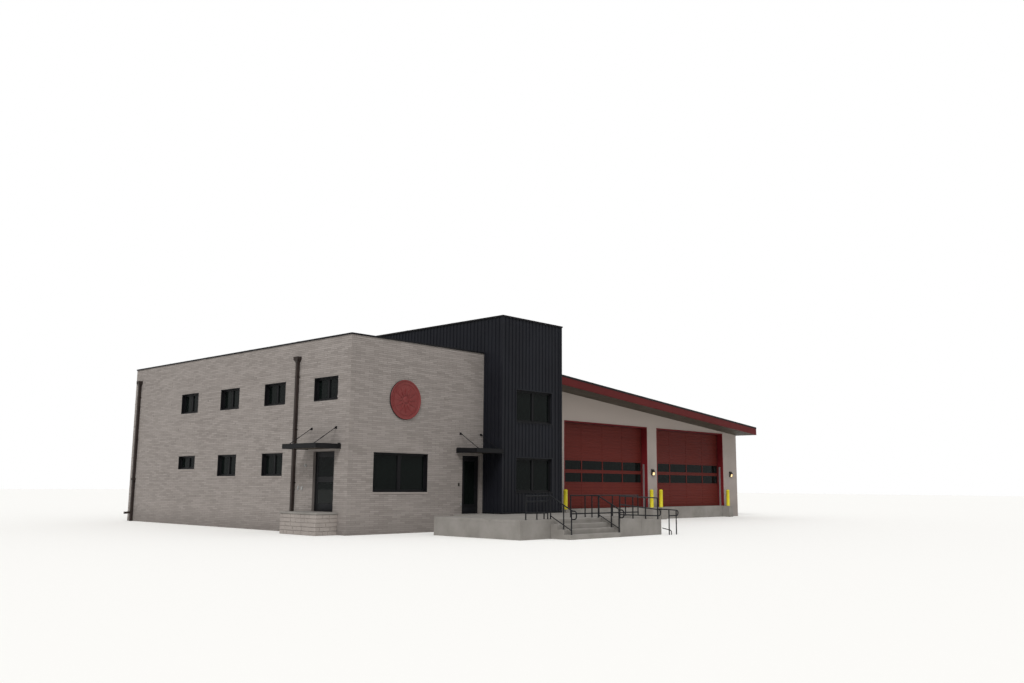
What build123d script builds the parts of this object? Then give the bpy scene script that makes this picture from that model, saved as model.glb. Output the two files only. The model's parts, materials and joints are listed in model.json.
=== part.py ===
from build123d import *
import os

os.makedirs("parts", exist_ok=True)

# Driving dimensions, in millimetres. The lowest ground is at zero height.
floor_level = 620
office_width = 6440
office_depth = 16200
office_height = 6250
tower_width = 3550
tower_reach = 1030
tower_height = 7640
bay_width = 20290
bay_setback = 2510
brick_wall = 350
core_wall = 200
slab = 150
storey = 3200
gap = 0.3

# Windows and doors: widths, heights above the floor and the depth of their reveals
window_width = 1380
window_first = 1395
window_pitch = 3225
upper_sill, upper_head = 3992, 4795
lower_sill, lower_head = 1361, 2190
short_sill = 1649
brick_reveal = 110
frame_face = 60
mullion_face = 100
front_mullion_face = 150
frame_depth = 100
liner_thick = 15
glass_thick = 24
front_window_x = (1088, 3592)
front_window_z = (817, 2182)
tower_window_x = (800, 2905)
tower_lower_z = (818, 2137)
tower_upper_z = (3533, 4780)
tower_reveal = 100

side_door_y = (763, 1990)
side_door_sill = 140
side_door_head = 2197
entry_door_x = (5348, 6283)
entry_door_head = 2180
door_setback = 100
leaf_thick = 45
door_gap = 6
strike_gap = 8
leaf_foot_gap = 8

# Overhead doors of the bays
bay_door_height = 4124
bay_door_width = 6750
bay_door_start = 4370
bay_pier_width = 870
sections = 7

# Roof of the bays, one slope that falls to the right from above the doors
roof_slope = 0.085
roof_depth = 440
eave_drop = 34
eave_height = bay_door_height - eave_drop
roof_front_reach = 1300
roof_side_reach = 150

# Canopies, entrance landing, steps and ramp
canopy_top = 2440
canopy_deep = 170
side_canopy_y = (405, 2380)
side_canopy_reach = 1050
entry_canopy_start = 5007
entry_canopy_reach = 1130
landing_reach = 5600
landing_left = 2500
landing_walk = 1600
walk_margin = 100
steps_x = (3970, 6660)
risers = 4
tread = 280
rail_extension = 300
ramp_end = 9105
ramp_edge = 6400
ramp_width = 1500
ramp_slope = 1 / 30

# Grid lines. The origin is under the middle of the whole building.
building_length = office_width + tower_width + bay_width
x_office = -(building_length + roof_side_reach - side_canopy_reach) / 2
x_tower = x_office + office_width
x_bay = x_tower + tower_width
x_end = x_bay + bay_width
front_reach = landing_reach + (risers - 1) * tread + rail_extension
y_front = -(office_depth + roof_side_reach - front_reach) / 2
y_rear = y_front + office_depth
y_tower = y_front - tower_reach
y_bay = y_front + bay_setback
z_floor = floor_level
z_upper = z_floor + storey
z_office = z_floor + office_height
z_tower = z_floor + tower_height
riser = floor_level / risers


def front_plane(y):
    return Plane.XZ.offset(-y)


def side_plane(x):
    return Plane.YZ.offset(x)


def area(u, v, mode=Mode.ADD):
    with Locations(((u[0] + u[1]) / 2, (v[0] + v[1]) / 2)):
        Rectangle(u[1] - u[0], v[1] - v[0], mode=mode)


def block(x, y, z, mode=Mode.ADD):
    with Locations(((x[0] + x[1]) / 2, (y[0] + y[1]) / 2, (z[0] + z[1]) / 2)):
        Box(x[1] - x[0], y[1] - y[0], z[1] - z[0], mode=mode)


def shifted(span, by):
    return (span[0] + by, span[1] + by)


def inset(span, by):
    return (span[0] + by, span[1] - by)


def save(piece, label):
    piece.part.label = label
    export_step(piece.part, f"parts/{label}.step")


# Windows as pairs of spans: along the wall, and in height
def side_window(index, sill, head):
    middle = y_front + window_first + index * window_pitch
    half = window_width / 2
    return ((middle - half, middle + half), (z_floor + sill, z_floor + head))


over_door_window = side_window(0, upper_sill, upper_head)
lower_windows = [side_window(i, lower_sill, lower_head) for i in (1, 2)]
lower_windows += [side_window(3, short_sill, lower_head)]
rear_windows = [side_window(i, upper_sill, upper_head) for i in (1, 2, 3)] + lower_windows
front_window = (shifted(front_window_x, x_office), shifted(front_window_z, z_floor))
tower_windows = [
    (shifted(tower_window_x, x_tower), shifted(tower_lower_z, z_floor)),
    (shifted(tower_window_x, x_tower), shifted(tower_upper_z, z_floor)),
]
side_door_span = shifted(side_door_y, y_front)
side_door_z = (z_floor + side_door_sill, z_floor + side_door_head)
entry_door_span = shifted(entry_door_x, x_office)
entry_door_z = (z_floor, z_floor + entry_door_head)


def bay_underside(x):
    return z_floor + eave_height + (x_end + roof_side_reach - x) * roof_slope


# Brick office block. Each wall is split beside and over its doorway, where the panel
# over the side door bears on the walls at both sides.
coping_thick = 60
wall_top = z_office - coping_thick
bearing = 160
panel_over_door = inset(side_door_span, -bearing)

with BuildPart() as left_wall:
    with BuildSketch(side_plane(x_office)):
        area((side_door_span[1], y_rear - brick_wall), (0, side_door_z[1]))
        area((panel_over_door[1], y_rear - brick_wall), (0, wall_top))
        for opening in rear_windows:
            area(*opening, mode=Mode.SUBTRACT)
    extrude(amount=brick_wall)
save(left_wall, "left_wall")

with BuildPart() as left_wall_corner:
    with BuildSketch(side_plane(x_office)):
        area((y_front, side_door_span[0]), (0, side_door_z[1]))
        area((y_front, panel_over_door[0]), (0, wall_top))
        area(side_door_span, (0, side_door_z[0]))
    extrude(amount=brick_wall)
save(left_wall_corner, "left_wall_corner")

with BuildPart() as left_wall_over_door:
    with BuildSketch(side_plane(x_office)):
        area(panel_over_door, (side_door_z[1], wall_top))
        area(*over_door_window, mode=Mode.SUBTRACT)
    extrude(amount=brick_wall)
save(left_wall_over_door, "left_wall_over_door")

with BuildPart() as front_wall:
    with BuildSketch(front_plane(y_front)):
        area((x_office + brick_wall, entry_door_span[0]), (0, wall_top))
        area(*front_window, mode=Mode.SUBTRACT)
    extrude(amount=-brick_wall)
save(front_wall, "front_wall")

with BuildPart() as front_wall_over_door:
    with BuildSketch(front_plane(y_front)):
        area(entry_door_span, (entry_door_z[1], wall_top))
    extrude(amount=-brick_wall)
save(front_wall_over_door, "front_wall_over_door")

with BuildPart() as front_pier:
    with BuildSketch(front_plane(y_front)):
        area((entry_door_span[1], x_tower), (0, wall_top))
        area(entry_door_span, (0, z_floor))
    extrude(amount=-brick_wall)
save(front_pier, "front_pier")

# Rear wall of the office, the tower and the bays, under their three roof lines
with BuildPart() as rear_wall:
    with BuildSketch(front_plane(y_rear)):
        area((x_office, x_tower), (0, wall_top))
        area((x_tower, x_bay), (0, z_tower - coping_thick))
        with BuildLine():
            Polyline(
                (x_bay, 0),
                (x_end, 0),
                (x_end, bay_underside(x_end)),
                (x_bay, bay_underside(x_bay)),
                close=True,
            )
        make_face()
    extrude(amount=brick_wall)
save(rear_wall, "rear_wall")

# Tower: core walls on a plinth, with the ribbed cladding over them
cladding = 50
tower_wall = core_wall + cladding
plinth_top = z_floor + 60

with BuildPart() as tower_front_wall:
    with BuildSketch(front_plane(y_tower + cladding)):
        area((x_tower + cladding, x_bay - cladding), (0, z_tower - coping_thick))
        for opening in tower_windows:
            area(*opening, mode=Mode.SUBTRACT)
    extrude(amount=-core_wall)
    plinth_x = inset((x_tower, x_bay), gap)
    block(plinth_x, (y_tower + gap, y_tower + cladding), (0, plinth_top))
save(tower_front_wall, "tower_front_wall")

with BuildPart() as tower_left_wall:
    block(
        (x_tower + cladding, x_tower + tower_wall),
        (y_tower + tower_wall, y_rear - brick_wall),
        (0, z_tower - coping_thick),
    )
    block((x_tower, x_tower + cladding), (y_front, y_rear - brick_wall), (0, z_office - slab))
    block((plinth_x[0], x_tower + cladding), (y_tower + cladding, y_front), (0, plinth_top))
save(tower_left_wall, "tower_left_wall")

with BuildPart() as tower_right_wall:
    block(
        (x_bay - tower_wall, x_bay - cladding),
        (y_tower + tower_wall, y_rear - brick_wall),
        (0, z_tower - coping_thick),
    )
    with BuildSketch(side_plane(x_bay - cladding)):
        area((y_bay, y_rear - brick_wall), (0, bay_underside(x_bay)))
    extrude(amount=cladding)
    block((x_bay - cladding, plinth_x[1]), (y_tower + cladding, y_bay), (0, plinth_top))
save(tower_right_wall, "tower_right_wall")

# Ribbed cladding: a sheet with square ribs that run from the plinth to the coping
rib_pitch = 200
rib_width = 28
sheet = 25
trim_width = 90


def ribs_along(length):
    count = round((length - 2 * trim_width) / rib_pitch)
    pitch = (length - 2 * trim_width) / count
    return [trim_width + (i + 0.5) * pitch for i in range(count)]


def ribbed_panel(plane, length, low, high, openings):
    # The panel lies in the plane of its rib tops and grows inwards, with trims at both edges.
    with BuildPart() as panel:
        with BuildSketch(plane.offset(-cladding)):
            area((0, length), (low, high))
            for u, v in openings:
                area(u, v, mode=Mode.SUBTRACT)
        extrude(amount=sheet)
        with BuildSketch(plane.offset(-cladding)):
            for middle in ribs_along(length):
                area((middle - rib_width / 2, middle + rib_width / 2), (low, high))
            area((0, trim_width), (low, high))
            area((length - trim_width, length), (low, high))
            for u, v in openings:
                area(inset(u, -trim_width / 2), inset(v, -trim_width / 2))
                area(u, v, mode=Mode.SUBTRACT)
        extrude(amount=cladding)
    return panel


front_clad_plane = Plane(origin=(x_tower, y_tower, 0), x_dir=(1, 0, 0), z_dir=(0, -1, 0))
tower_front_cladding = ribbed_panel(
    front_clad_plane,
    tower_width,
    plinth_top,
    z_tower - coping_thick,
    [(shifted(u, -x_tower), v) for u, v in tower_windows],
)
save(tower_front_cladding, "tower_front_cladding")

left_clad_plane = Plane(origin=(x_tower, y_front, 0), x_dir=(0, -1, 0), z_dir=(-1, 0, 0))
upper_left_plane = Plane(
    origin=(x_tower, y_rear - brick_wall, 0), x_dir=(0, -1, 0), z_dir=(-1, 0, 0)
)
tower_lower_left = ribbed_panel(
    left_clad_plane, tower_reach - cladding, plinth_top, z_office, []
)
tower_upper_left = ribbed_panel(
    upper_left_plane,
    office_depth - brick_wall + tower_reach - cladding,
    z_office,
    z_tower - coping_thick,
    [],
)
with BuildPart() as tower_left_cladding:
    add(tower_lower_left.part)
    add(tower_upper_left.part)
save(tower_left_cladding, "tower_left_cladding")

roof_top_at_tower = bay_underside(x_bay) + roof_depth
right_clad_plane = Plane(
    origin=(x_bay, y_tower + cladding, 0), x_dir=(0, 1, 0), z_dir=(1, 0, 0)
)
roof_front = y_bay - roof_front_reach
tower_lower_right = ribbed_panel(
    right_clad_plane,
    roof_front - y_tower - cladding,
    plinth_top,
    roof_top_at_tower + gap,
    [],
)
tower_upper_right = ribbed_panel(
    right_clad_plane,
    y_rear - brick_wall - y_tower - cladding,
    roof_top_at_tower + gap,
    z_tower - coping_thick,
    [],
)
with BuildPart() as tower_right_cladding:
    add(tower_lower_right.part)
    add(tower_upper_right.part)
    block(
        (x_bay - cladding, x_bay - cladding + sheet),
        (roof_front, y_bay),
        (plinth_top, roof_top_at_tower + gap),
    )
save(tower_right_cladding, "tower_right_cladding")

# Floors and flat roofs
office_inside_x = (x_office + brick_wall, x_tower)
office_inside_y = (y_front + brick_wall, y_rear - brick_wall)
tower_inside_x = (x_tower + tower_wall, x_bay - tower_wall)
tower_inside_y = (y_tower + tower_wall, y_rear - brick_wall)
bay_inside_x = (x_bay, x_end - brick_wall)
bay_inside_y = (y_bay + brick_wall, y_rear - brick_wall)
upper_slab = 250
parapet_rise = 450

with BuildPart() as ground_floors:
    block(office_inside_x, office_inside_y, (z_floor - slab, z_floor))
    block(tower_inside_x, tower_inside_y, (z_floor - slab, z_floor))
    block(bay_inside_x, bay_inside_y, (z_floor - slab, z_floor))
save(ground_floors, "ground_floors")

with BuildPart() as upper_floors:
    block(office_inside_x, office_inside_y, (z_upper - upper_slab, z_upper))
    block(tower_inside_x, tower_inside_y, (z_upper - upper_slab, z_upper))
save(upper_floors, "upper_floors")

office_roof_top = z_office - parapet_rise
tower_roof_top = z_tower - parapet_rise
with BuildPart() as flat_roofs:
    block(office_inside_x, office_inside_y, (office_roof_top - upper_slab, office_roof_top))
    block(tower_inside_x, tower_inside_y, (tower_roof_top - upper_slab, tower_roof_top))
save(flat_roofs, "flat_roofs")

# Metal copings that cap the parapets
coping_lip = 25
with BuildPart() as parapet_copings:
    with BuildSketch(Plane.XY.offset(wall_top)):
        area((x_office - coping_lip, x_tower - gap), (y_front - coping_lip, y_rear + coping_lip))
        area(
            (x_office + brick_wall + coping_lip, x_tower),
            inset((y_front, y_rear), brick_wall + coping_lip),
            mode=Mode.SUBTRACT,
        )
    extrude(amount=coping_thick)
    with BuildSketch(Plane.XY.offset(z_tower - coping_thick)):
        area(inset((x_tower, x_bay), -coping_lip), (y_tower - coping_lip, y_rear + coping_lip))
        area(
            inset((x_tower, x_bay), tower_wall + coping_lip),
            (y_tower + tower_wall + coping_lip, y_rear - brick_wall - coping_lip),
            mode=Mode.SUBTRACT,
        )
    extrude(amount=coping_thick)
save(parapet_copings, "parapet_copings")

# Window frames with a metal liner from the brick face, glass and sills
sill_reach = 20
sill_thick = 60
sill_side = 10


def frame_ring(u, v, face=mullion_face):
    area(u, v)
    area(inset(u, frame_face), inset(v, frame_face), mode=Mode.SUBTRACT)
    area((centre(u) - face / 2, centre(u) + face / 2), v)


def liner_ring(u, v):
    area(u, v)
    area(inset(u, liner_thick), inset(v, liner_thick), mode=Mode.SUBTRACT)


def panes(u, v, face=mullion_face):
    area((u[0] + frame_face, centre(u) - face / 2), inset(v, frame_face))
    area((centre(u) + face / 2, u[1] - frame_face), inset(v, frame_face))


def centre(span):
    return (span[0] + span[1]) / 2


side_windows = [over_door_window] + rear_windows
side_frame_plane = side_plane(x_office + brick_reveal)
with BuildPart() as left_window_frames:
    with BuildSketch(side_frame_plane):
        for u, v in side_windows:
            frame_ring(u, v)
    extrude(amount=frame_depth)
    with BuildSketch(side_plane(x_office)):
        for u, v in side_windows:
            liner_ring(u, v)
    extrude(amount=brick_reveal)
save(left_window_frames, "left_window_frames")

glass_set = (frame_depth - glass_thick) / 2
with BuildPart() as left_window_glass:
    with BuildSketch(side_frame_plane.offset(glass_set)):
        for u, v in side_windows:
            panes(u, v)
    extrude(amount=glass_thick)
save(left_window_glass, "left_window_glass")

with BuildPart() as front_window_frames:
    with BuildSketch(front_plane(y_front + brick_reveal)):
        frame_ring(*front_window, front_mullion_face)
    extrude(amount=-frame_depth)
    with BuildSketch(front_plane(y_front)):
        liner_ring(*front_window)
    extrude(amount=-brick_reveal)
    with BuildSketch(front_plane(y_tower + tower_reveal)):
        for u, v in tower_windows:
            frame_ring(u, v)
    extrude(amount=-frame_depth)
save(front_window_frames, "front_window_frames")

with BuildPart() as front_window_glass:
    with BuildSketch(front_plane(y_front + brick_reveal + glass_set)):
        panes(*front_window, front_mullion_face)
    extrude(amount=-glass_thick)
    with BuildSketch(front_plane(y_tower + tower_reveal + glass_set)):
        for u, v in tower_windows:
            panes(u, v)
    extrude(amount=-glass_thick)
save(front_window_glass, "front_window_glass")

with BuildPart() as window_sills:
    for u, v in lower_windows:
        block((x_office - sill_reach, x_office - gap), inset(u, -sill_side), (v[0] - sill_thick, v[0]))
    u, v = front_window
    block(inset(u, -sill_side), (y_front - sill_reach, y_front - gap), (v[0] - sill_thick, v[0]))
save(window_sills, "window_sills")

# Hinged doors. The leaf turns on three hinges at one edge of its frame, outwards.
jamb = 50
door_frame_depth = 120
stop_depth = 30
stop_face = 15
barrel_radius = 9
barrel_sides = 8
barrel_out = 10
knuckle = 30
tab_start, tab_end, tab_thick = 2, 28, 4
hinge_heights = (220, 1010, 1800)


def door_frame_ring(u, v, outer):
    # Frame with a stop behind the leaf. The sketch plane faces outwards.
    with BuildPart() as frame:
        with BuildSketch(outer):
            area(u, v)
            area(inset(u, jamb), (v[0], v[1] - jamb), mode=Mode.SUBTRACT)
        extrude(amount=-door_frame_depth)
        with BuildSketch(outer.offset(-(leaf_thick + door_gap))):
            area(inset(u, jamb), (v[0], v[1] - jamb))
            area(inset(u, jamb + stop_face), (v[0], v[1] - jamb - stop_face), mode=Mode.SUBTRACT)
        extrude(amount=-stop_depth)
    return frame


side_frame_face = Plane(
    origin=(x_office + door_setback, 0, 0), x_dir=(0, -1, 0), z_dir=(-1, 0, 0)
)
entry_frame_face = front_plane(y_front + door_setback)
side_door_u = (-side_door_span[1], -side_door_span[0])


def knuckles(plane, u, v, on_leaf):
    # Frame knuckles sit above and below the leaf's knuckle on each hinge.
    pivot = u[0] + jamb + door_gap / 2
    side = 1 if on_leaf else -1
    for height in hinge_heights:
        foot = v[0] + height
        if on_leaf:
            stacks = [(foot + knuckle + gap, foot + 2 * knuckle - gap)]
        else:
            stacks = [(foot, foot + knuckle), (foot + 2 * knuckle, foot + 3 * knuckle)]
        for low, high in stacks:
            base = Plane(
                origin=plane.from_local_coords((pivot, low, barrel_out)),
                x_dir=plane.x_dir,
                z_dir=(0, 0, 1),
            )
            with BuildSketch(base) as barrel:
                RegularPolygon(barrel_radius, barrel_sides)
            extrude(barrel.sketch, amount=high - low)
            with BuildSketch(plane) as tab:
                area(sorted((pivot + side * tab_start, pivot + side * tab_end)), (low, high))
            extrude(tab.sketch, amount=tab_thick)


entry_frame_ring = door_frame_ring(entry_door_span, entry_door_z, entry_frame_face)
with BuildPart() as entry_door_frame:
    add(entry_frame_ring.part)
    knuckles(entry_frame_face, entry_door_span, entry_door_z, False)
save(entry_door_frame, "entry_door_frame")

side_frame_ring = door_frame_ring(side_door_u, side_door_z, side_frame_face)
with BuildPart() as side_door_frame:
    add(side_frame_ring.part)
    knuckles(side_frame_face, side_door_u, side_door_z, False)
save(side_door_frame, "side_door_frame")


def leaf_span(u, v):
    return (
        (u[0] + jamb + door_gap, u[1] - jamb - strike_gap),
        (v[0] + leaf_foot_gap, v[1] - jamb - door_gap),
    )


lever_height = 970
lever_length = 140
lever_radius = 11
lever_out = 62
lever_inset = 70
plate_width, plate_height, plate_lip = 60, 260, 10


def lever_set(plane, u, v):
    # Plate, neck and lever on both faces of the leaf, at its strike edge
    across = u[1] - lever_inset
    height = v[0] - leaf_foot_gap + lever_height
    for face, way in ((plane, 1), (plane.offset(-leaf_thick), -1)):
        with BuildSketch(face) as plate:
            with Locations((across, height - plate_height / 4)):
                Rectangle(plate_width, plate_height)
        extrude(plate.sketch, amount=way * plate_lip)
        with BuildSketch(face) as neck:
            with Locations((across, height)):
                RegularPolygon(lever_radius, barrel_sides)
        extrude(neck.sketch, amount=way * lever_out)
        with BuildSketch(face.offset(way * (lever_out - 2 * lever_radius))) as lever:
            area(
                (across - lever_length, across + lever_radius),
                (height - lever_radius, height + lever_radius),
            )
        extrude(lever.sketch, amount=way * 2 * lever_radius)


entry_leaf_u, entry_leaf_v = leaf_span(entry_door_span, entry_door_z)
with BuildPart() as entry_door:
    with BuildSketch(entry_frame_face):
        area(entry_leaf_u, entry_leaf_v)
    extrude(amount=-leaf_thick)
    knuckles(entry_frame_face, entry_door_span, entry_door_z, True)
    lever_set(entry_frame_face, entry_leaf_u, entry_leaf_v)
save(entry_door, "entry_door")

stile = 110
top_rail = 120
lock_rail = 160
bottom_rail = 260
lock_rail_height = 1010
side_leaf_u, side_leaf_v = leaf_span(side_door_u, side_door_z)
side_lites = [
    (inset(side_leaf_u, stile), (side_leaf_v[0] + bottom_rail, side_leaf_v[0] + lock_rail_height)),
    (
        inset(side_leaf_u, stile),
        (side_leaf_v[0] + lock_rail_height + lock_rail, side_leaf_v[1] - top_rail),
    ),
]
with BuildPart() as side_door:
    with BuildSketch(side_frame_face):
        area(side_leaf_u, side_leaf_v)
        for u, v in side_lites:
            area(u, v, mode=Mode.SUBTRACT)
    extrude(amount=-leaf_thick)
    knuckles(side_frame_face, side_door_u, side_door_z, True)
    lever_set(side_frame_face, side_leaf_u, side_leaf_v)
save(side_door, "side_door")

with BuildPart() as side_door_glass:
    with BuildSketch(side_frame_face.offset(-(leaf_thick - glass_thick) / 2)):
        for u, v in side_lites:
            area(u, v)
    extrude(amount=-glass_thick)
save(side_door_glass, "side_door_glass")

# Flat metal canopies over the two doors, with a recessed deck above and a soffit pocket below
canopy_rim = 40
z_canopy = (z_floor + canopy_top - canopy_deep, z_floor + canopy_top)


def canopy(x, y):
    with BuildPart() as slab_piece:
        block(x, y, z_canopy)
        top_faces = (z_canopy[1] - canopy_rim, z_canopy[1])
        soffit_pocket = (z_canopy[0], z_canopy[0] + canopy_rim / 2)
        block(inset(x, canopy_rim), inset(y, canopy_rim), top_faces, mode=Mode.SUBTRACT)
        block(inset(x, canopy_rim), inset(y, canopy_rim), soffit_pocket, mode=Mode.SUBTRACT)
    return slab_piece


side_canopy_x = (x_office - side_canopy_reach, x_office - gap)
side_canopy = canopy(side_canopy_x, shifted(side_canopy_y, y_front))
save(side_canopy, "side_canopy")
entry_canopy_span = (x_office + entry_canopy_start, x_tower - gap)
entry_canopy_y = (y_front - entry_canopy_reach, y_front - gap)
entry_canopy = canopy(entry_canopy_span, entry_canopy_y)
save(entry_canopy, "entry_canopy")

# Tie rods from a wall plate down to a lug on the canopy's deck
rod_radius = 11
rod_sides = 8
rod_rise = 565
rod_inset = 130
anchor_thick = 12
anchor_side = 90
anchor_pin = 40
boss_radius = 25


def tie_rod(wall_point, inward, reach):
    out = -1 * inward
    head = wall_point + out * (anchor_thick + boss_radius)
    foot = wall_point + out * (reach - rod_inset) - Vector(0, 0, rod_rise - canopy_rim)
    line = foot - head
    with BuildSketch(Plane(origin=head, z_dir=line)) as rod:
        RegularPolygon(rod_radius, rod_sides)
    extrude(rod.sketch, amount=line.length)
    wall_face = Plane(origin=wall_point + out * gap, z_dir=out)
    with BuildSketch(wall_face) as plate:
        Rectangle(anchor_side, anchor_side)
    extrude(plate.sketch, amount=anchor_thick)
    with BuildSketch(wall_face) as boss:
        RegularPolygon(boss_radius, rod_sides)
    extrude(boss.sketch, amount=anchor_thick + anchor_pin)
    deck = z_canopy[1] - canopy_rim + gap
    with BuildSketch(Plane(origin=(foot.X, foot.Y, deck))) as lug:
        RegularPolygon(boss_radius, rod_sides)
    extrude(lug.sketch, amount=foot.Z + boss_radius - deck)


rod_head_z = z_floor + canopy_top + rod_rise
side_rod_places = (709, 2148)
entry_rod_places = (5221, 6310)
side_rod_points = [Vector(x_office, y_front + y, rod_head_z) for y in side_rod_places]
entry_rod_points = [Vector(x_office + x, y_front, rod_head_z) for x in entry_rod_places]
with BuildPart() as canopy_rods:
    for point in side_rod_points:
        tie_rod(point, Vector(1, 0, 0), side_canopy_reach)
    for point in entry_rod_points:
        tie_rod(point, Vector(0, 1, 0), entry_canopy_reach)
save(canopy_rods, "canopy_rods")

# Downspouts on the left wall: a tapered leader head, a square pipe with straps and a turned-out foot
pipe = 110
pipe_standoff = 20
head_width, head_out, head_height = 260, 190, 200
downspout_head = 5660
front_downspout, rear_downspout = 3100, 500
downspout_places = (front_downspout, office_depth - rear_downspout)
foot_kick = 260
foot_heights = (-300, -190)
strap_heights = (1100, 3000, 4900)
strap_width, strap_thick, strap_side = 40, 6, 30


def downspout(y):
    outer = x_office - pipe_standoff - pipe
    middle = x_office - pipe_standoff - pipe / 2
    head_low = z_floor + downspout_head - head_height
    shoulder = head_low + head_height / 2
    with BuildSketch(Plane.XY.offset(head_low)) as throat:
        with Locations((middle, y)):
            Rectangle(pipe, pipe)
    with BuildSketch(Plane.XY.offset(shoulder)) as mouth:
        with Locations((x_office - gap - head_out / 2, y)):
            Rectangle(head_out, head_width)
    loft([throat.sketch, mouth.sketch], ruled=True)
    block(
        (x_office - gap - head_out, x_office - gap),
        (y - head_width / 2, y + head_width / 2),
        (shoulder, head_low + head_height),
    )
    block((outer, outer + pipe), (y - pipe / 2, y + pipe / 2), (0, head_low))
    for height in strap_heights:
        block(
            (outer - strap_thick, x_office - gap),
            (y - pipe / 2 - strap_side, y + pipe / 2 + strap_side),
            (z_floor + height, z_floor + height + strap_width),
        )
    kick = shifted(foot_heights, z_floor)
    block((outer - foot_kick, outer), (y - pipe / 2, y + pipe / 2), kick)


with BuildPart() as downspouts:
    for place in downspout_places:
        downspout(y_front + place)
save(downspouts, "downspouts")

# Round wall emblem: a dished disc with a rim, a hub and a plain burst of rays
emblem_radius = 715
emblem_thick = 70
emblem_place = (2440, 4091)
emblem_relief = 20
emblem_rim = 60
emblem_hub = 120
rays = 12
ray_middle, ray_base, ray_length, ray_angle = 300, 240, 90, 82
emblem_plane = Plane(
    origin=(x_office + emblem_place[0], y_front - gap, z_floor + emblem_place[1]),
    x_dir=(1, 0, 0),
    z_dir=(0, -1, 0),
)
with BuildPart() as wall_emblem:
    with BuildSketch(emblem_plane):
        Circle(emblem_radius)
    extrude(amount=emblem_thick - emblem_relief)
    with BuildSketch(emblem_plane.offset(emblem_thick - emblem_relief)):
        Circle(emblem_radius)
        Circle(emblem_radius - emblem_rim, mode=Mode.SUBTRACT)
        with PolarLocations(0, rays):
            with Locations((ray_middle, 0)):
                Trapezoid(ray_base, ray_length, ray_angle, rotation=-90)
        Circle(emblem_hub)
    extrude(amount=emblem_relief)
save(wall_emblem, "wall_emblem")

# Bay block: piers beside the doorways, the wall over them and the right wall
door_left = (x_bay + bay_door_start, x_bay + bay_door_start + bay_door_width)
door_right = shifted(door_left, bay_door_width + bay_pier_width)
bay_doorways = (door_left, door_right)
z_bay_head = z_floor + bay_door_height


def bay_front_piece(x, low):
    with BuildPart() as piece:
        with BuildSketch(front_plane(y_bay)):
            with BuildLine():
                Polyline(
                    (x[0], low),
                    (x[1], low),
                    (x[1], bay_underside(x[1])),
                    (x[0], bay_underside(x[0])),
                    close=True,
                )
            make_face()
        extrude(amount=-brick_wall)
    return piece


bay_pier_left = bay_front_piece((x_bay, door_left[0]), 0)
save(bay_pier_left, "bay_pier_left")
bay_pier_right = bay_front_piece((door_right[1], x_end), 0)
save(bay_pier_right, "bay_pier_right")
bay_lintel_wall = bay_front_piece((door_left[0], door_right[1]), z_bay_head)
save(bay_lintel_wall, "bay_lintel_wall")

with BuildPart() as bay_pier_middle:
    block((door_left[1], door_right[0]), (y_bay, y_bay + brick_wall), (0, z_bay_head))
save(bay_pier_middle, "bay_pier_middle")

with BuildPart() as bay_right_wall:
    block(
        (x_end - brick_wall, x_end),
        (y_bay + brick_wall, y_rear - brick_wall),
        (0, bay_underside(x_end)),
    )
save(bay_right_wall, "bay_right_wall")

# Door sills of the bays, with the pads that carry the bollards
bollard_radius = 100
bollard_sides = 18
bollard_height = 920
bollard_dome = 60
dome_taper = 40
bollard_out = 260
bollard_shifts = (-220, -30, -50, 10)
bollard_lines = [edge + by for edge, by in zip(door_left + door_right, bollard_shifts)]
pad_half, pad_reach, pad_drop = 200, 460, 5
with BuildPart() as bay_sills:
    for doorway in bay_doorways:
        block(doorway, (y_bay, y_bay + brick_wall), (0, z_floor))
    for x in bollard_lines:
        block((x - pad_half, x + pad_half), (y_bay - pad_reach, y_bay), (0, z_floor - pad_drop))
save(bay_sills, "bay_sills")

# Bollards, drawn with flats round their sleeves and a tapered cap
z_bollard = z_floor - pad_drop + gap
with BuildPart() as bollards:
    for x in bollard_lines:
        for level, height, taper in (
            (z_bollard, bollard_height - bollard_dome, 0),
            (z_bollard + bollard_height - bollard_dome, bollard_dome, dome_taper),
        ):
            foot = Plane(origin=(x, y_bay - bollard_out, level))
            with BuildSketch(foot) as section:
                RegularPolygon(bollard_radius, bollard_sides)
            extrude(section.sketch, amount=height, taper=taper)
save(bollards, "bollards")

# Sloped roof of the bays: deck, soffit under the front reach, fascia boards and edge trim
roof_x = (x_bay, x_end + roof_side_reach)
roof_y = (y_bay - roof_front_reach, y_rear + roof_side_reach)
fascia_thick = 40
soffit_thick = 20


def sloped_band(plane, x, low, high, amount):
    # Prism between two lines parallel to the roof, at heights low and high above its underside
    with BuildSketch(plane) as band:
        with BuildLine():
            Polyline(
                (x[0], bay_underside(x[0]) + low),
                (x[1], bay_underside(x[1]) + low),
                (x[1], bay_underside(x[1]) + high),
                (x[0], bay_underside(x[0]) + high),
                close=True,
            )
        make_face()
    extrude(band.sketch, amount=amount)


deck_x = (roof_x[0], roof_x[1] - fascia_thick)
deck_y = inset(roof_y, fascia_thick)
with BuildPart() as bay_roof:
    sloped_band(front_plane(y_bay), deck_x, gap, roof_depth, y_bay - deck_y[1])
    sloped_band(front_plane(deck_y[0]), deck_x, soffit_thick, roof_depth, deck_y[0] - y_bay)
save(bay_roof, "bay_roof")

with BuildPart() as bay_soffit:
    sloped_band(front_plane(deck_y[0]), deck_x, 0, soffit_thick - gap, deck_y[0] + gap - y_bay)
save(bay_soffit, "bay_soffit")

with BuildPart() as bay_fascia:
    sloped_band(front_plane(roof_y[0]), roof_x, 0, roof_depth, -fascia_thick)
    sloped_band(front_plane(roof_y[1]), roof_x, 0, roof_depth, fascia_thick)
    gable_x = (deck_x[1], roof_x[1])
    sloped_band(front_plane(roof_y[0]), gable_x, 0, roof_depth, roof_y[0] - roof_y[1])
save(bay_fascia, "bay_fascia")

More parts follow.
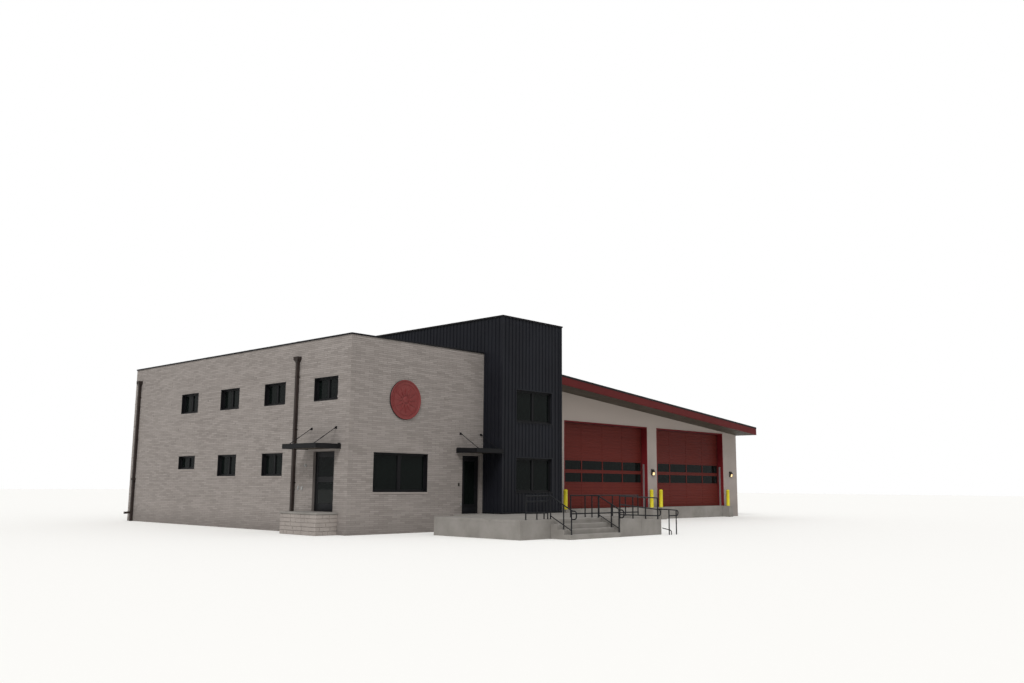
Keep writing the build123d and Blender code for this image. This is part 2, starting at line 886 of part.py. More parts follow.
# Steel channels that line the bay doorways
channel = 45
channel_face = 12
with BuildPart() as bay_door_frames:
    for doorway in bay_doorways:
        with BuildSketch(front_plane(y_bay - channel_face)):
            area(doorway, (z_floor, z_bay_head))
            area(inset(doorway, channel), (z_floor, z_bay_head - channel), mode=Mode.SUBTRACT)
        extrude(amount=-(brick_wall + channel_face))
save(bay_door_frames, "bay_door_frames")

# Sectional doors: ribbed curtains with two rows of four windows
curtain = 50
y_curtain = y_bay + brick_wall + gap
section_height = bay_door_height / sections
lite_columns = 4
lite_rows = (2, 3)
lite_margin = 80
rib_rise = 8
groove = 8
section_ribs = 3
section_rib_half = 30
lite_frame = 30
curtain_lap = 60
edge_clear = 25


def bay_lites(doorway):
    clear = inset(doorway, channel + edge_clear)
    width = (clear[1] - clear[0]) / lite_columns
    lites = []
    for row in lite_rows:
        low = z_floor + row * section_height
        for column in range(lite_columns):
            start = clear[0] + column * width
            lites.append((
                inset((start, start + width), lite_margin / 2),
                inset((low, low + section_height), lite_margin),
            ))
    return lites


def bay_curtain(doorway):
    with BuildPart() as door:
        outline = (inset(doorway, -curtain_lap), (z_floor + gap, z_bay_head + curtain_lap))
        with BuildSketch(front_plane(y_curtain)):
            area(*outline)
            for u, v in bay_lites(doorway):
                area(u, v, mode=Mode.SUBTRACT)
        extrude(amount=-curtain)
        # Joints between the sections, cut as shallow grooves across the face
        for row in range(1, sections):
            level = z_floor + row * section_height
            block(
                outline[0],
                (y_curtain, y_curtain + groove),
                (level - groove / 2, level + groove / 2),
                mode=Mode.SUBTRACT,
            )
        # Pressed ribs on the solid sections
        solid_rows = [row for row in range(sections) if row not in lite_rows]
        with BuildSketch(front_plane(y_curtain)):
            for row in solid_rows:
                for rib in range(1, section_ribs + 1):
                    level = z_floor + (row + rib / (section_ribs + 1)) * section_height
                    height = (level - section_rib_half, level + section_rib_half)
                    area(inset(doorway, channel + edge_clear), height)
        extrude(amount=rib_rise)
        # Raised frames round the windows
        with BuildSketch(front_plane(y_curtain)):
            for u, v in bay_lites(doorway):
                area(inset(u, -lite_frame), inset(v, -lite_frame))
                area(u, v, mode=Mode.SUBTRACT)
        extrude(amount=rib_rise)
    return door


bay_door_left = bay_curtain(door_left)
save(bay_door_left, "bay_door_left")
bay_door_right = bay_curtain(door_right)
save(bay_door_right, "bay_door_right")

with BuildPart() as bay_door_glass:
    with BuildSketch(front_plane(y_curtain + (curtain - glass_thick) / 2)):
        for doorway in bay_doorways:
            for u, v in bay_lites(doorway):
                area(u, v)
    extrude(amount=-glass_thick)
save(bay_door_glass, "bay_door_glass")

# Pale steel guards on the right jamb of each bay doorway
guard_height = 2200
guard_back, guard_flange, guard_web, guard_thick = 150, 40, 110, 12
with BuildPart() as jamb_guards:
    for doorway in bay_doorways:
        edge = doorway[1] - channel - gap
        with BuildSketch(Plane.XY.offset(z_floor + gap)):
            start = y_bay + guard_back
            area((edge - guard_flange, edge), (start, start + guard_thick))
            area((edge - guard_thick, edge), (start, start + guard_web))
        extrude(amount=guard_height)
save(jamb_guards, "jamb_guards")

# Wall lights beside the bay doorways
light_low = 1640
light_width, light_height, light_out = 200, 310, 120
light_shoulder = 186
light_lines = (centre((door_left[1], door_right[0])), centre((door_right[1], x_end)))
with BuildPart() as wall_lights:
    for x in light_lines:
        with BuildSketch(side_plane(x - light_width / 2)):
            low = z_floor + light_low
            with BuildLine():
                Polyline(
                    (y_bay - gap, low),
                    (y_bay - gap, low + light_height),
                    (y_bay - light_out / 2, low + light_height),
                    (y_bay - light_out, low + light_shoulder),
                    (y_bay - light_out, low),
                    close=True,
                )
            make_face()
        extrude(amount=light_width)
save(wall_lights, "wall_lights")

# Entrance landing, steps and ramp, of solid concrete on the lowest ground
z_landing = z_floor - gap
y_landing = y_front - landing_reach
walk_start = x_office + entry_canopy_start - walk_margin
with BuildPart() as landing:
    with BuildSketch(Plane.XY):
        with BuildLine():
            Polyline(
                (x_office + landing_left, y_landing),
                (x_office + steps_x[1], y_landing),
                (x_office + steps_x[1], y_front - ramp_edge + ramp_width),
                (x_bay, y_front - ramp_edge + ramp_width),
                (x_bay, y_tower),
                (x_tower, y_tower),
                (x_tower, y_front),
                (walk_start, y_front),
                (walk_start, y_front - landing_walk),
                (x_office + landing_left, y_front - landing_walk),
                close=True,
            )
        make_face()
    extrude(amount=z_landing)
save(landing, "landing")

with BuildPart() as entry_steps:
    for step in range(1, risers):
        start = y_landing - step * tread
        block(
            shifted(steps_x, x_office),
            (start, start + tread - gap),
            (0, z_floor - step * riser),
        )
save(entry_steps, "entry_steps")

ramp_y = (y_front - ramp_edge, y_front - ramp_edge + ramp_width - gap)
ramp_x = (x_office + steps_x[1] + gap, x_office + ramp_end)


def ramp_height(x):
    return z_landing - (x - ramp_x[0]) * ramp_slope


with BuildPart() as ramp:
    with BuildSketch(front_plane(ramp_y[0])):
        with BuildLine():
            Polyline(
                (ramp_x[0], 0),
                (ramp_x[1], 0),
                (ramp_x[1], ramp_height(ramp_x[1])),
                (ramp_x[0], ramp_height(ramp_x[0])),
                close=True,
            )
        make_face()
    extrude(amount=-(ramp_y[1] - ramp_y[0]))
save(ramp, "ramp")

stoop_reach, stoop_y, stoop_drop = 900, (450, 2600), 10
with BuildPart() as side_stoop:
    block(
        (x_office - stoop_reach, x_office - gap),
        shifted(stoop_y, y_front),
        (0, z_floor + side_door_sill - stoop_drop),
    )
save(side_stoop, "side_stoop")

# Railings of steel tube, drawn with eight flats: posts, top rail, middle rail and foot rail
tube = 21
tube_sides = 8
bend_radius = 90
rail_inset = 80
top_rail_height = 745
guard_heights = (205, 575, top_rail_height)
ramp_guard_heights = (120, top_rail_height)
guard_start, guard_end = 350, 60


def tube_section(origin, direction, radius):
    with BuildSketch(Plane(origin=origin, z_dir=direction)) as section:
        RegularPolygon(radius, tube_sides)
    return section.sketch


def tube_run(a, b, radius=tube):
    line = Vector(*b) - Vector(*a)
    extrude(tube_section(a, line, radius), amount=line.length)


def bent_tube(plane, points, radius=tube):
    # Tube through a line of points, with its corners rounded
    with BuildLine(plane) as route:
        FilletPolyline(*points, radius=bend_radius)
    wire = route.wire()
    sweep(tube_section(wire @ 0, wire % 0, radius), path=wire)


def guard(x_span, y, ground, posts, heights):
    # Posts from the ground function up to the top rail, with straight rails past both end posts
    pitch = (x_span[1] - x_span[0]) / (posts - 1)
    for i in range(posts):
        x = x_span[0] + i * pitch
        tube_run((x, y, ground(x - tube) + gap), (x, y, ground(x) + heights[-1]))
    for height in heights:
        tube_run(*[(x, y, ground(x) + height) for x in inset(x_span, -tube)])


def level_ground(x):
    return z_landing


guard_posts = 3
guard_x = (x_office + landing_left + guard_start, x_office + steps_x[0] - guard_end)
with BuildPart() as landing_guard:
    guard(guard_x, y_landing + rail_inset, level_ground, guard_posts, guard_heights)
save(landing_guard, "landing_guard")

foot_rise = 110
top_run = 300
low_tube = 16
loop_reach = 165
loop_drop = 260
post_in = 40
middle_post = 476


def stair_rail(x):
    # Handrail parallel to the nosings with a loop past the last step, and a foot rail under it
    y_high = y_landing + rail_inset
    y_low = y_landing - (risers - 1) * tread
    y_end = y_low - loop_reach
    y_post = y_low + post_in
    z_high, z_low = z_landing + top_rail_height, riser + top_rail_height
    slope = (z_high - z_low) / (y_high - y_low)
    bent_tube(
        side_plane(x),
        [
            (y_high + top_run, z_high),
            (y_high, z_high),
            (y_low, z_low),
            (y_end, z_low),
            (y_end, z_low - loop_drop),
            (y_post, z_low - loop_drop),
        ],
    )
    y_back = y_high + top_run - tube
    y_middle = y_landing - middle_post
    step_top = z_floor - 2 * riser
    tube_run((x, y_back, z_landing + gap), (x, y_back, z_high))
    tube_run((x, y_high, z_landing + gap), (x, y_high, z_high - tube / 2))
    tube_run((x, y_middle, step_top + gap), (x, y_middle, z_high - slope * (y_high - y_middle)))
    tube_run((x, y_post, riser + gap), (x, y_post, z_high - slope * (y_high - y_post)))
    foot_end = z_landing + foot_rise - slope * (y_high - y_post)
    tube_run((x, y_high, z_landing + foot_rise), (x, y_post, foot_end), low_tube)


with BuildPart() as stair_rails:
    for x in (x_office + steps_x[0] + rail_inset, x_office + steps_x[1] - rail_inset):
        stair_rail(x)
save(stair_rails, "stair_rails")

# Railings of the ramp: a guard on its near edge with a handrail that ends in a loop, a guard
# behind it on the landing, and a short handrail from its last post out over the lowest ground
near_posts, back_posts = 4, 6
near_guard_start, near_guard_end = 80, 105
back_guard_start = 730
hand_start, hand_end, hand_reach = 460, 325, 75
hand_drop = 200
short_reach = 598
short_z = (892, 848)
short_posts = (15, 475)
short_foot_x, short_foot_z = (-405, 155), (251, 148)
short_drop = 180


def ramp_ground(x):
    return ramp_height(max(x, ramp_x[0]))


with BuildPart() as ramp_rails:
    y_near = ramp_y[0] + rail_inset
    near_x = (ramp_x[0] + near_guard_start, ramp_x[1] - near_guard_end)
    guard(near_x, y_near, ramp_ground, near_posts, ramp_guard_heights)
    x_loop = ramp_x[1] + hand_reach
    z_loop = ramp_height(ramp_x[1]) + hand_end
    bent_tube(
        front_plane(y_near),
        [
            (near_x[0] - tube, z_landing + hand_start),
            (x_loop, z_loop),
            (x_loop, z_loop - hand_drop),
            (near_x[1], z_loop - hand_drop),
        ],
    )
    back_x = (x_office + steps_x[1] - back_guard_start, x_bay - rail_inset)
    guard(back_x, ramp_y[1] + rail_inset, level_ground, back_posts, ramp_guard_heights)

    y_short = y_landing - (risers - 1) * tread - rail_extension + tube
    high, low = near_x[1], ramp_x[1] + short_reach
    tube_run((high, y_near, short_z[0]), (high, y_short - tube, short_z[0]))
    bent_tube(
        front_plane(y_short),
        [
            (high - tube, short_z[0]),
            (low, short_z[1]),
            (low, short_z[1] - short_drop),
            (ramp_x[1] + short_posts[0], short_z[1] - short_drop),
        ],
    )
    fall = (short_z[0] - short_z[1]) / (low - high)
    for place in shifted(short_posts, ramp_x[1]):
        tube_run((place, y_short, gap), (place, y_short, short_z[0] - fall * (place - high)))
    foot_start, foot_stop = shifted(short_foot_x, ramp_x[1])
    bent_tube(
        front_plane(y_short),
        [(foot_start, short_foot_z[0]), (foot_stop, short_foot_z[1]), (foot_stop, gap)],
        low_tube,
    )
save(ramp_rails, "ramp_rails")
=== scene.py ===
import json
import math
import random
import bmesh
import bpy
from mathutils import Matrix, Vector

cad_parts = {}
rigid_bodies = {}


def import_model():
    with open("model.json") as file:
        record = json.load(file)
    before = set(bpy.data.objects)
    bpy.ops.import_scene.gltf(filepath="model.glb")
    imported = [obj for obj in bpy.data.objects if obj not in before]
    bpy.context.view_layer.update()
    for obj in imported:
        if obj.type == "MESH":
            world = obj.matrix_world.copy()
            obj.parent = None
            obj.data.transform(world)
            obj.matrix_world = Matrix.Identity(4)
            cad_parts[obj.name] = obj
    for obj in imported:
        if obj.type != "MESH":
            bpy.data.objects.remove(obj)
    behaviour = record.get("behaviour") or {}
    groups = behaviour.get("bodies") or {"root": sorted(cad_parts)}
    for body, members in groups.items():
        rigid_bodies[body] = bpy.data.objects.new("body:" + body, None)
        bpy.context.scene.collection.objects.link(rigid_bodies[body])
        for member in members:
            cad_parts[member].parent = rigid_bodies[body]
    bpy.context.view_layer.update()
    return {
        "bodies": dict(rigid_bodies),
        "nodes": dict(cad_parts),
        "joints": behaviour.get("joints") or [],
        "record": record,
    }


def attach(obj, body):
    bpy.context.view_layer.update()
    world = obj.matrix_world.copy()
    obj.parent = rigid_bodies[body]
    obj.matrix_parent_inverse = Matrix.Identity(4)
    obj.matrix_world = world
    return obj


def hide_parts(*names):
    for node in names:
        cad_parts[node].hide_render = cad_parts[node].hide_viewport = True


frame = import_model()
nodes = frame["nodes"]
print("frame loaded:", len(nodes), "CAD pieces")

# Grid lines of the building, in metres, as the source has them
grid = {
    "officeX": -14.690, "towerX": -8.250, "bayX": -4.700, "endX": 15.590,
    "frontY": -4.805, "towerY": -5.835, "bayY": -2.295, "rearY": 11.395,
    "floorZ": 0.620, "officeZ": 6.870, "towerZ": 8.260,
}
# Widths and levels in millimetres; levels count from the floor
officeWidth, officeDepth, towerWide, baysWide = 6440, 16200, 3550, 20290
wallTop, towerTop, groundLevel = 6190, 7580, -620
mm = 0.001


# Colours are written as sRGB hex and turned to linear here.
def toLinear(hexColour):
    channels = []
    for i in (0, 2, 4):
        value = int(hexColour[i:i + 2], 16) / 255
        channels.append(value / 12.92 if value <= 0.04045 else ((value + 0.055) / 1.055) ** 2.4)
    return (*channels, 1.0)


def grey(level):
    return (level, level, level, 1.0)


def feed(tree, target, value):
    # Links a socket to another one, or sets it to a plain value
    if isinstance(value, bpy.types.NodeSocket):
        tree.links.new(value, target)
    else:
        target.default_value = value


def addNode(tree, kind, settings=None, inputs=None):
    node = tree.nodes.new(kind)
    for name, value in (settings or {}).items():
        setattr(node, name, value)
    for name, value in (inputs or {}).items():
        feed(tree, node.inputs[name], value)
    return node


def startMaterial(name):
    # A new material, its tree and its object coordinates
    material = bpy.data.materials.new(name)
    material.use_nodes = True
    tree = material.node_tree
    return material, tree, addNode(tree, "ShaderNodeTexCoord").outputs["Object"]


def closeMaterial(material, inputs):
    tree = material.node_tree
    for name, value in inputs.items():
        feed(tree, tree.nodes["Principled BSDF"].inputs[name], value)
    return material


def ramp(tree, value, stops):
    node = addNode(tree, "ShaderNodeValToRGB", inputs={"Fac": value})
    elements = node.color_ramp.elements
    while len(elements) < len(stops):
        elements.new(0.5)
    for element, (position, colour) in zip(elements, stops):
        element.position = position
        element.color = colour
    return node.outputs["Color"]


def noise(tree, place, size, detail=3.0, roughness=0.5, stretch=(1, 1, 1)):
    # size is the width of one patch in millimetres; stretch makes it longer along an axis
    scaled = addNode(tree, "ShaderNodeMapping", inputs={
        "Vector": place, "Scale": tuple(1 / (size * mm * s) for s in stretch)})
    return addNode(tree, "ShaderNodeTexNoise", inputs={
        "Vector": scaled.outputs["Vector"], "Scale": 1.0, "Detail": detail,
        "Roughness": roughness}).outputs["Fac"]


def mixColour(tree, factor, a, b):
    node = addNode(tree, "ShaderNodeMix", {"data_type": "RGBA"})
    for name, value in (("Factor", factor), ("A", a), ("B", b)):
        feed(tree, next(i for i in node.inputs if i.name == name and i.enabled), value)
    return next(o for o in node.outputs if o.enabled)


def veil(tree, colour, value, start, end, hexColour):
    # Lays a second colour over the first; start and end are pairs of a value and a strength
    strength = ramp(tree, value, [(stop, grey(level)) for stop, level in (start, end)])
    return mixColour(tree, strength, colour, toLinear(hexColour))


def bump(tree, height, depth, strength=1.0, normal=None):
    inputs = {"Height": height, "Distance": depth * mm, "Strength": strength}
    if normal is not None:
        inputs["Normal"] = normal
    return addNode(tree, "ShaderNodeBump", inputs=inputs).outputs["Normal"]


def calc(tree, operation, a, b):
    return addNode(tree, "ShaderNodeMath", {"operation": operation}, {0: a, 1: b}).outputs[0]


def split(tree, place):
    return addNode(tree, "ShaderNodeSeparateXYZ", inputs={"Vector": place}).outputs


# Wall coordinates: along the wall, whichever way it runs, and up. The bond turns the corner.
def wallCoordinates(tree, place):
    parts = split(tree, place)
    join = addNode(tree, "ShaderNodeCombineXYZ", inputs={
        "X": calc(tree, "ADD", parts["X"], parts["Y"]), "Y": parts["Z"]})
    return join.outputs["Vector"], parts["Z"]


wallPaint = {
    "joint": "6d6662", "dark": "7e7772", "paint": "87807b", "pale": "908984", "grime": "5f5955",
    "render": "938a84", "renderDark": "867d78", "renderPaintedHighlight": "a89d95",
}


def paintedBrick():
    # Long rough-faced bricks under two coats of flat masonry paint: each unit takes the paint a
    # little differently, the joints stay in shade and rain leaves faint streaks
    material, tree, place = startMaterial("paintedBrick")
    wall, height = wallCoordinates(tree, place)
    tone = addNode(tree, "ShaderNodeAttribute", {"attribute_name": "tone"}).outputs["Fac"]
    stops = ((0.0, "joint"), (0.24, "dark"), (0.55, "paint"), (1.0, "pale"))
    colour = ramp(tree, tone, [(stop, toLinear(wallPaint[name])) for stop, name in stops])
    streaks = noise(tree, wall, 700, 5.0, 0.65, (2.6, 0.35, 1))
    colour = veil(tree, colour, streaks, (0.35, 0.0), (0.7, 0.16), wallPaint["grime"])
    colour = veil(tree, colour, noise(tree, wall, 2600), (0.45, 0.0), (0.75, 0.3), wallPaint["pale"])
    # Splashed earth darkens the lowest courses.
    splash = calc(tree, "ADD", height, calc(tree, "MULTIPLY", streaks, 0.5))
    colour = veil(tree, colour, splash, (0.25, 0.55), (0.95, 0.0), wallPaint["grime"])
    relief = bump(tree, noise(tree, wall, 45, 4.0, 0.6, (1.6, 0.7, 1)), 4, 0.6)
    relief = bump(tree, noise(tree, place, 7, 3.0, 0.6), 1.0, 0.5, relief)
    return closeMaterial(material, {"Roughness": 0.85, "Base Color": colour, "Normal": relief})


def paintedRender():
    # Rendered blockwork, floated smooth and painted: fine sand grain, faint hand marks. The coat is
    # painted paler up under the overhang: a painted highlight that lifts the wall where the soffit
    # shades it.
    material, tree, place = startMaterial("paintedRender")
    wall, height = wallCoordinates(tree, place)
    colour = veil(tree, toLinear(wallPaint["render"]), noise(tree, wall, 1900, 4.0, 0.55), (0.35, 0.0),
                  (0.75, 1.0), wallPaint["renderDark"])
    # Painted highlight: the coat turns paler from about 3 m up, standing in for light under the
    # overhang
    colour = veil(tree, colour, calc(tree, "MULTIPLY", height, 0.1), (0.3, 0.0), (0.5, 1.0),
                  wallPaint["renderPaintedHighlight"])
    colour = veil(tree, colour, height, (0.62, 0.35), (1.25, 0.0), wallPaint["grime"])
    relief = bump(tree, noise(tree, place, 5, 3.0, 0.6), 1.5, 0.5)
    relief = bump(tree, noise(tree, wall, 420, 2.0), 3, 0.4, relief)
    return closeMaterial(material, {"Roughness": 0.8, "Base Color": colour, "Normal": relief})


def coatedSteel(name, base, worn, roughness=0.45, patch=900, oilCan=3.0, sheen=0.5, metallic=0.0):
    # Coil-coated sheet steel: an even satin film, slightly wavy, dustier in large patches
    material, tree, place = startMaterial(name)
    dust = noise(tree, place, patch, 4.0, 0.6)
    colour = veil(tree, toLinear(base), dust, (0.4, 0.0), (0.8, 0.6), worn)
    gloss = ramp(tree, dust, [(0.3, grey(roughness * 0.85)), (0.8, grey(min(1.0, roughness * 1.3)))])
    relief = bump(tree, noise(tree, place, 380, 2.0, 0.4), oilCan, 0.5)
    return closeMaterial(material, {"Base Color": colour, "Roughness": gloss, "Normal": relief,
                                    "Metallic": metallic, "Specular IOR Level": sheen})


def concrete(name="broomedConcrete", base="85817c", dark="69655f", broom=True):
    # Cast concrete with a broomed top: pores, trowel patches and damp stains
    material, tree, place = startMaterial(name)
    patches = noise(tree, place, 650, 5.0, 0.6)
    colour = veil(tree, toLinear(base), patches, (0.35, 0.0), (0.75, 0.7), dark)
    stains = noise(tree, place, 2100, 4.0, 0.6, (1, 1, 0.4))
    colour = veil(tree, colour, stains, (0.55, 0.0), (0.8, 0.45), "605b55")
    relief = bump(tree, noise(tree, place, 14, 4.0, 0.7), 1.6, 0.5)
    if broom:
        relief = bump(tree, noise(tree, place, 9, 1.0, 0.5, (14, 0.5, 1)), 1.2, 0.35, relief)
    return closeMaterial(material, {"Roughness": 0.88, "Base Color": colour, "Normal": relief})


def tintedGlass():
    # Tinted double glazing: dark, clear and mirror-smooth, a little wavy over each pane
    material, tree, place = startMaterial("tintedGlass")
    return closeMaterial(material, {
        "Base Color": toLinear("161c1a"), "Roughness": 0.02, "IOR": 1.25, "Transmission Weight": 0.5,
        "Specular IOR Level": 0.25, "Normal": bump(tree, noise(tree, place, 900, 1.0, 0.3), 1.5, 0.25)})


def roofSheet(name, base, seam):
    # Heat-welded single-ply roofing: matt sheet with lapped seams and ponding marks
    material, tree, place = startMaterial(name)
    lap = calc(tree, "PINGPONG", split(tree, place)["X"], 1.0)
    line = ramp(tree, lap, [(0.0, grey(1.0)), (0.03, grey(0.0))])
    ponds = noise(tree, place, 1500, 4.0, 0.6)
    colour = veil(tree, toLinear(base), ponds, (0.4, 0.0), (0.75, 0.6), seam)
    return closeMaterial(material, {
        "Roughness": 0.9, "Base Color": mixColour(tree, line, colour, toLinear(seam)),
        "Normal": bump(tree, line, 4)})


def litLens():
    # Frosted polycarbonate over a warm lamp: prism ribs, and a glow that is soft by day
    material, tree, place = startMaterial("frostedLens")
    rib = 6 * mm
    prism = calc(tree, "MULTIPLY", calc(tree, "PINGPONG", split(tree, place)["X"], rib), 1 / rib)
    return closeMaterial(material, {
        "Base Color": toLinear("d9c49a"), "Roughness": 0.35, "Emission Color": toLinear("ffd08a"),
        "Emission Strength": 1.1, "Normal": bump(tree, prism, 2)})


materials = {
    "painted_brick": paintedBrick(),
    "painted_render": paintedRender(),
    "tower_core": coatedSteel("darkSheathing", "17181b", "1e1f23", 0.7, sheen=0.2),
    "tower_cladding": coatedSteel("ribbedSteel", "191a1f", "22242a", 0.45, 1400, 2.0, 0.14),
    "concrete": concrete(),
    "roof_membrane": roofSheet("roofMembrane", "a5a49f", "807e78"),
    "bay_roofing": roofSheet("bayRoofSheet", "4a4b4d", "35363a"),
    "dark_metal": coatedSteel("darkAnodised", "131315", "1c1b1c", 0.4, 500, 0.6, 0.14),
    "window_glass": tintedGlass(),
    "sill_stone": concrete("castSill", "958d87", "7d7671", False),
    "door_leaf": coatedSteel("darkDoorPaint", "141416", "1b1b1d", 0.38, 400, 0.8, 0.16),
    "downspout_bronze": coatedSteel("bronzeCoat", "2b2421", "3b322d", 0.45, 500, 1.0, 0.2),
    "emblem_red": coatedSteel("redEnamel", "6d2b2a", "7b4441", 0.5, 260, 0.8, 0.25),
    "bay_soffit_metal": coatedSteel("soffitSheet", "433c33", "50483d", 0.6, 1200, 2.0, 0.2),
    "fascia_red": coatedSteel("fasciaRed", "551b1b", "4a1c1c", 0.5, 1500, 2.5, 0.1),
    "bay_door_red": coatedSteel("doorRed", "58221d", "602a23", 0.5, 1200, 2.0, 0.08),
    "door_frame_red": coatedSteel("frameRed", "6a1b1f", "5c1d20", 0.5, 700, 1.0, 0.12),
    "pale_steel": coatedSteel("galvanisedSteel", "a6a6a4", "8b8c8c", 0.42, 240, 0.6, metallic=0.6),
    "lamp_housing": coatedSteel("lampHousing", "1c1a17", "26231f", 0.45, 200, 0.4, 0.2),
    "bollard_yellow": coatedSteel("safetyYellow", "c8bb1e", "b5a61b", 0.45, 500, 0.6, 0.35),
    "rail_steel": coatedSteel("railPaint", "131417", "1d1e20", 0.42, 400, 0.4, 0.16),
}
frostedLens = litLens()
for entry in frame["record"]["subparts"]:
    mesh = nodes[entry["node"]].data
    mesh.materials.clear()
    mesh.materials.append(materials[entry["material_slot"]])
print("materials ready:", len(materials))


# Mesh building: each form is added to the bmesh of its piece, in the frame of a wall. Sizes are in
# millimetres and heights count from the floor of the building, unless a comment says otherwise.
def about(middle, half):
    return (middle - half, middle + half)


def inset(span, edge):
    # A span without its edges; a negative edge widens it
    return (span[0] + edge, span[1] - edge)


def edgesOf(span, width):
    return ((span[0], span[0] + width), (span[1] - width, span[1]))


def rectangle(along, up):
    return [(along[0], up[0]), (along[1], up[0]), (along[1], up[1]), (along[0], up[1])]


def pick(sizes, names):
    return [sizes[name] for name in names.split()]


def frameFrom(first, second, third, origin):
    # A place from its three axes and its origin
    return Matrix.Translation(origin) @ Matrix((first, second, third)).transposed().to_4x4()


def seatOn(wall, along, up, out=0):
    return wall @ Matrix.Translation((along * mm, up * mm, out * mm))


# Turns the third axis of a wall's frame from out of the wall to up
upright = Matrix.Rotation(-math.pi / 2, 4, "X")


def bevelEdges(build, edges, offset, segments=2):
    bmesh.ops.bevel(build, geom=list(dict.fromkeys(edges)), offset=offset * mm, offset_type="OFFSET",
                    segments=segments, profile=0.5, affect="EDGES", material=-1)


def addPlate(build, wall, along, up, out, bevel=0):
    # A block between three spans
    spans = [[end * mm for end in sorted(span)] for span in (along, up, out)]
    place = wall @ Matrix.Translation([(low + high) / 2 for low, high in spans])
    size = Matrix.Diagonal((*(high - low for low, high in spans), 1))
    made = bmesh.ops.create_cube(build, size=1.0, matrix=place @ size)["verts"]
    if bevel:
        bevelEdges(build, (edge for vertex in made for edge in vertex.link_edges), bevel)
    return made


def addRim(build, wall, along, up, out, face, bevel=0):
    # Four bars round an opening or a pane, face wide, inside the two spans
    for side in edgesOf(along, face):
        addPlate(build, wall, side, up, out, bevel)
    for rail in edgesOf(up, face):
        addPlate(build, wall, inset(along, face), rail, out, bevel)


# Pushes a flat face from place to place, as a moulding or a tube is drawn.
def pushAlong(build, face, places):
    for before, after in zip(places, places[1:]):
        grown = bmesh.ops.extrude_face_region(build, geom=[face])["geom"]
        face = next(item for item in grown if isinstance(item, bmesh.types.BMFace))
        corners = [item for item in grown if isinstance(item, bmesh.types.BMVert)]
        bmesh.ops.transform(build, verts=corners, matrix=after @ before.inverted())
    return face


def addOutline(build, outline, place):
    return build.faces.new([build.verts.new(place @ Vector((u * mm, v * mm, 0))) for u, v in outline])


def addPrism(build, wall, outline, span, bevel=0):
    # A flat outline in the first two axes of a frame, pushed along the third
    ends = [seatOn(wall, 0, 0, level) for level in span]
    base = addOutline(build, outline, ends[0])
    cap = pushAlong(build, base, ends)
    if bevel:
        corners = [*base.verts, *cap.verts]
        bevelEdges(build, (edge for vertex in corners for edge in vertex.link_edges), bevel)


def addProfile(build, wall, points, along, bevel=0):
    # A profile of (out, up) points, pushed along the wall
    way, up, out = (wall.col[i].to_3d() for i in range(3))
    addPrism(build, frameFrom(out, up, way, wall.translation), points, along, bevel)


def addMitred(build, corners, profile, closed=False):
    # A profile of (out, up) points run along a line of corners, mitred at each. Out is to the
    # right of the way the line runs. The corners are in metres, in the building's own frame.
    corners = [Vector(corner) for corner in corners]
    ways = [(b - a).to_2d().normalized() for a, b in zip(corners, corners[1:] + corners[:1])]
    outs = [Vector((way.y, -way.x)) for way in ways]
    up = Vector((0, 0, 1))
    places = []
    for i, corner in enumerate(corners):
        ahead, back = outs[i], outs[i - 1]
        if not closed:
            ahead, back = outs[min(i, len(corners) - 2)], outs[max(i - 1, 0)]
        mitre = ((ahead + back) / (1 + ahead.dot(back))).to_3d()
        places.append(frameFrom(mitre, up, mitre.cross(up), corner))
    first = addOutline(build, profile, places[0])
    if closed:
        last = pushAlong(build, first, places + places[:1])
        bmesh.ops.delete(build, geom=[first, last], context="FACES_ONLY")
        bmesh.ops.remove_doubles(build, verts=build.verts, dist=1e-5)
    else:
        pushAlong(build, first, places)


def addTurned(build, profile, place, steps=32):
    # A profile of (radius, height) points spun about the third axis of a place
    chain = [build.verts.new(place @ Vector((r * mm, 0, h * mm))) for r, h in profile]
    edges = [build.edges.new(pair) for pair in zip(chain, chain[1:])]
    bmesh.ops.spin(build, geom=chain + edges, cent=place.translation, angle=math.tau, steps=steps,
                   axis=place.to_3x3() @ Vector((0, 0, 1)), use_merge=True, use_duplicate=False)


def addStud(build, wall, along, up, out, radius=7, height=5, steps=8):
    # A domed screw or bolt head that stands on the wall's face
    addTurned(build, [(0, -1), (radius, -1), (radius, height * 0.5), (radius * 0.7, height * 0.9),
                      (0, height)], seatOn(wall, along, up, out), steps)


def roundedRoute(points, bend, steps=6):
    # The points of a line with its corners rounded by arcs of one radius
    route = [points[0]]
    for before, corner, after in zip(points, points[1:], points[2:]):
        back, ahead = (before - corner).normalized(), (after - corner).normalized()
        angle = back.angle(ahead)
        if math.pi - angle < 0.02:
            continue
        reach = bend / math.tan(angle / 2)
        middle = corner + (back + ahead).normalized() * bend / math.sin(angle / 2)
        first = (corner + back * reach - middle).normalized()
        last = (corner + ahead * reach - middle).normalized()
        route += [middle + first.slerp(last, i / steps) * bend for i in range(steps + 1)]
    return route + [points[-1]]


def addTube(build, wall, points, radius, bend=0, sides=16):
    # A round bar along a line of points: its end face is drawn from point to point
    route = [wall @ (Vector(point) * mm) for point in points]
    if bend:
        route = roundedRoute(route, bend * mm)
    side = (route[1] - route[0]).orthogonal().normalized()
    places = []
    for i, point in enumerate(route):
        along = (route[min(i + 1, len(route) - 1)] - route[max(i - 1, 0)]).normalized()
        side = (side - along * side.dot(along)).normalized()
        places.append(frameFrom(side, along.cross(side), along, point))
    ring = bmesh.ops.create_circle(build, cap_ends=True, segments=sides, radius=radius * mm,
                                   matrix=places[0])["verts"]
    pushAlong(build, ring[0].link_faces[0], places)


def newObject(name, data):
    made = bpy.data.objects.new(name, data)
    bpy.context.scene.collection.objects.link(made)
    return made


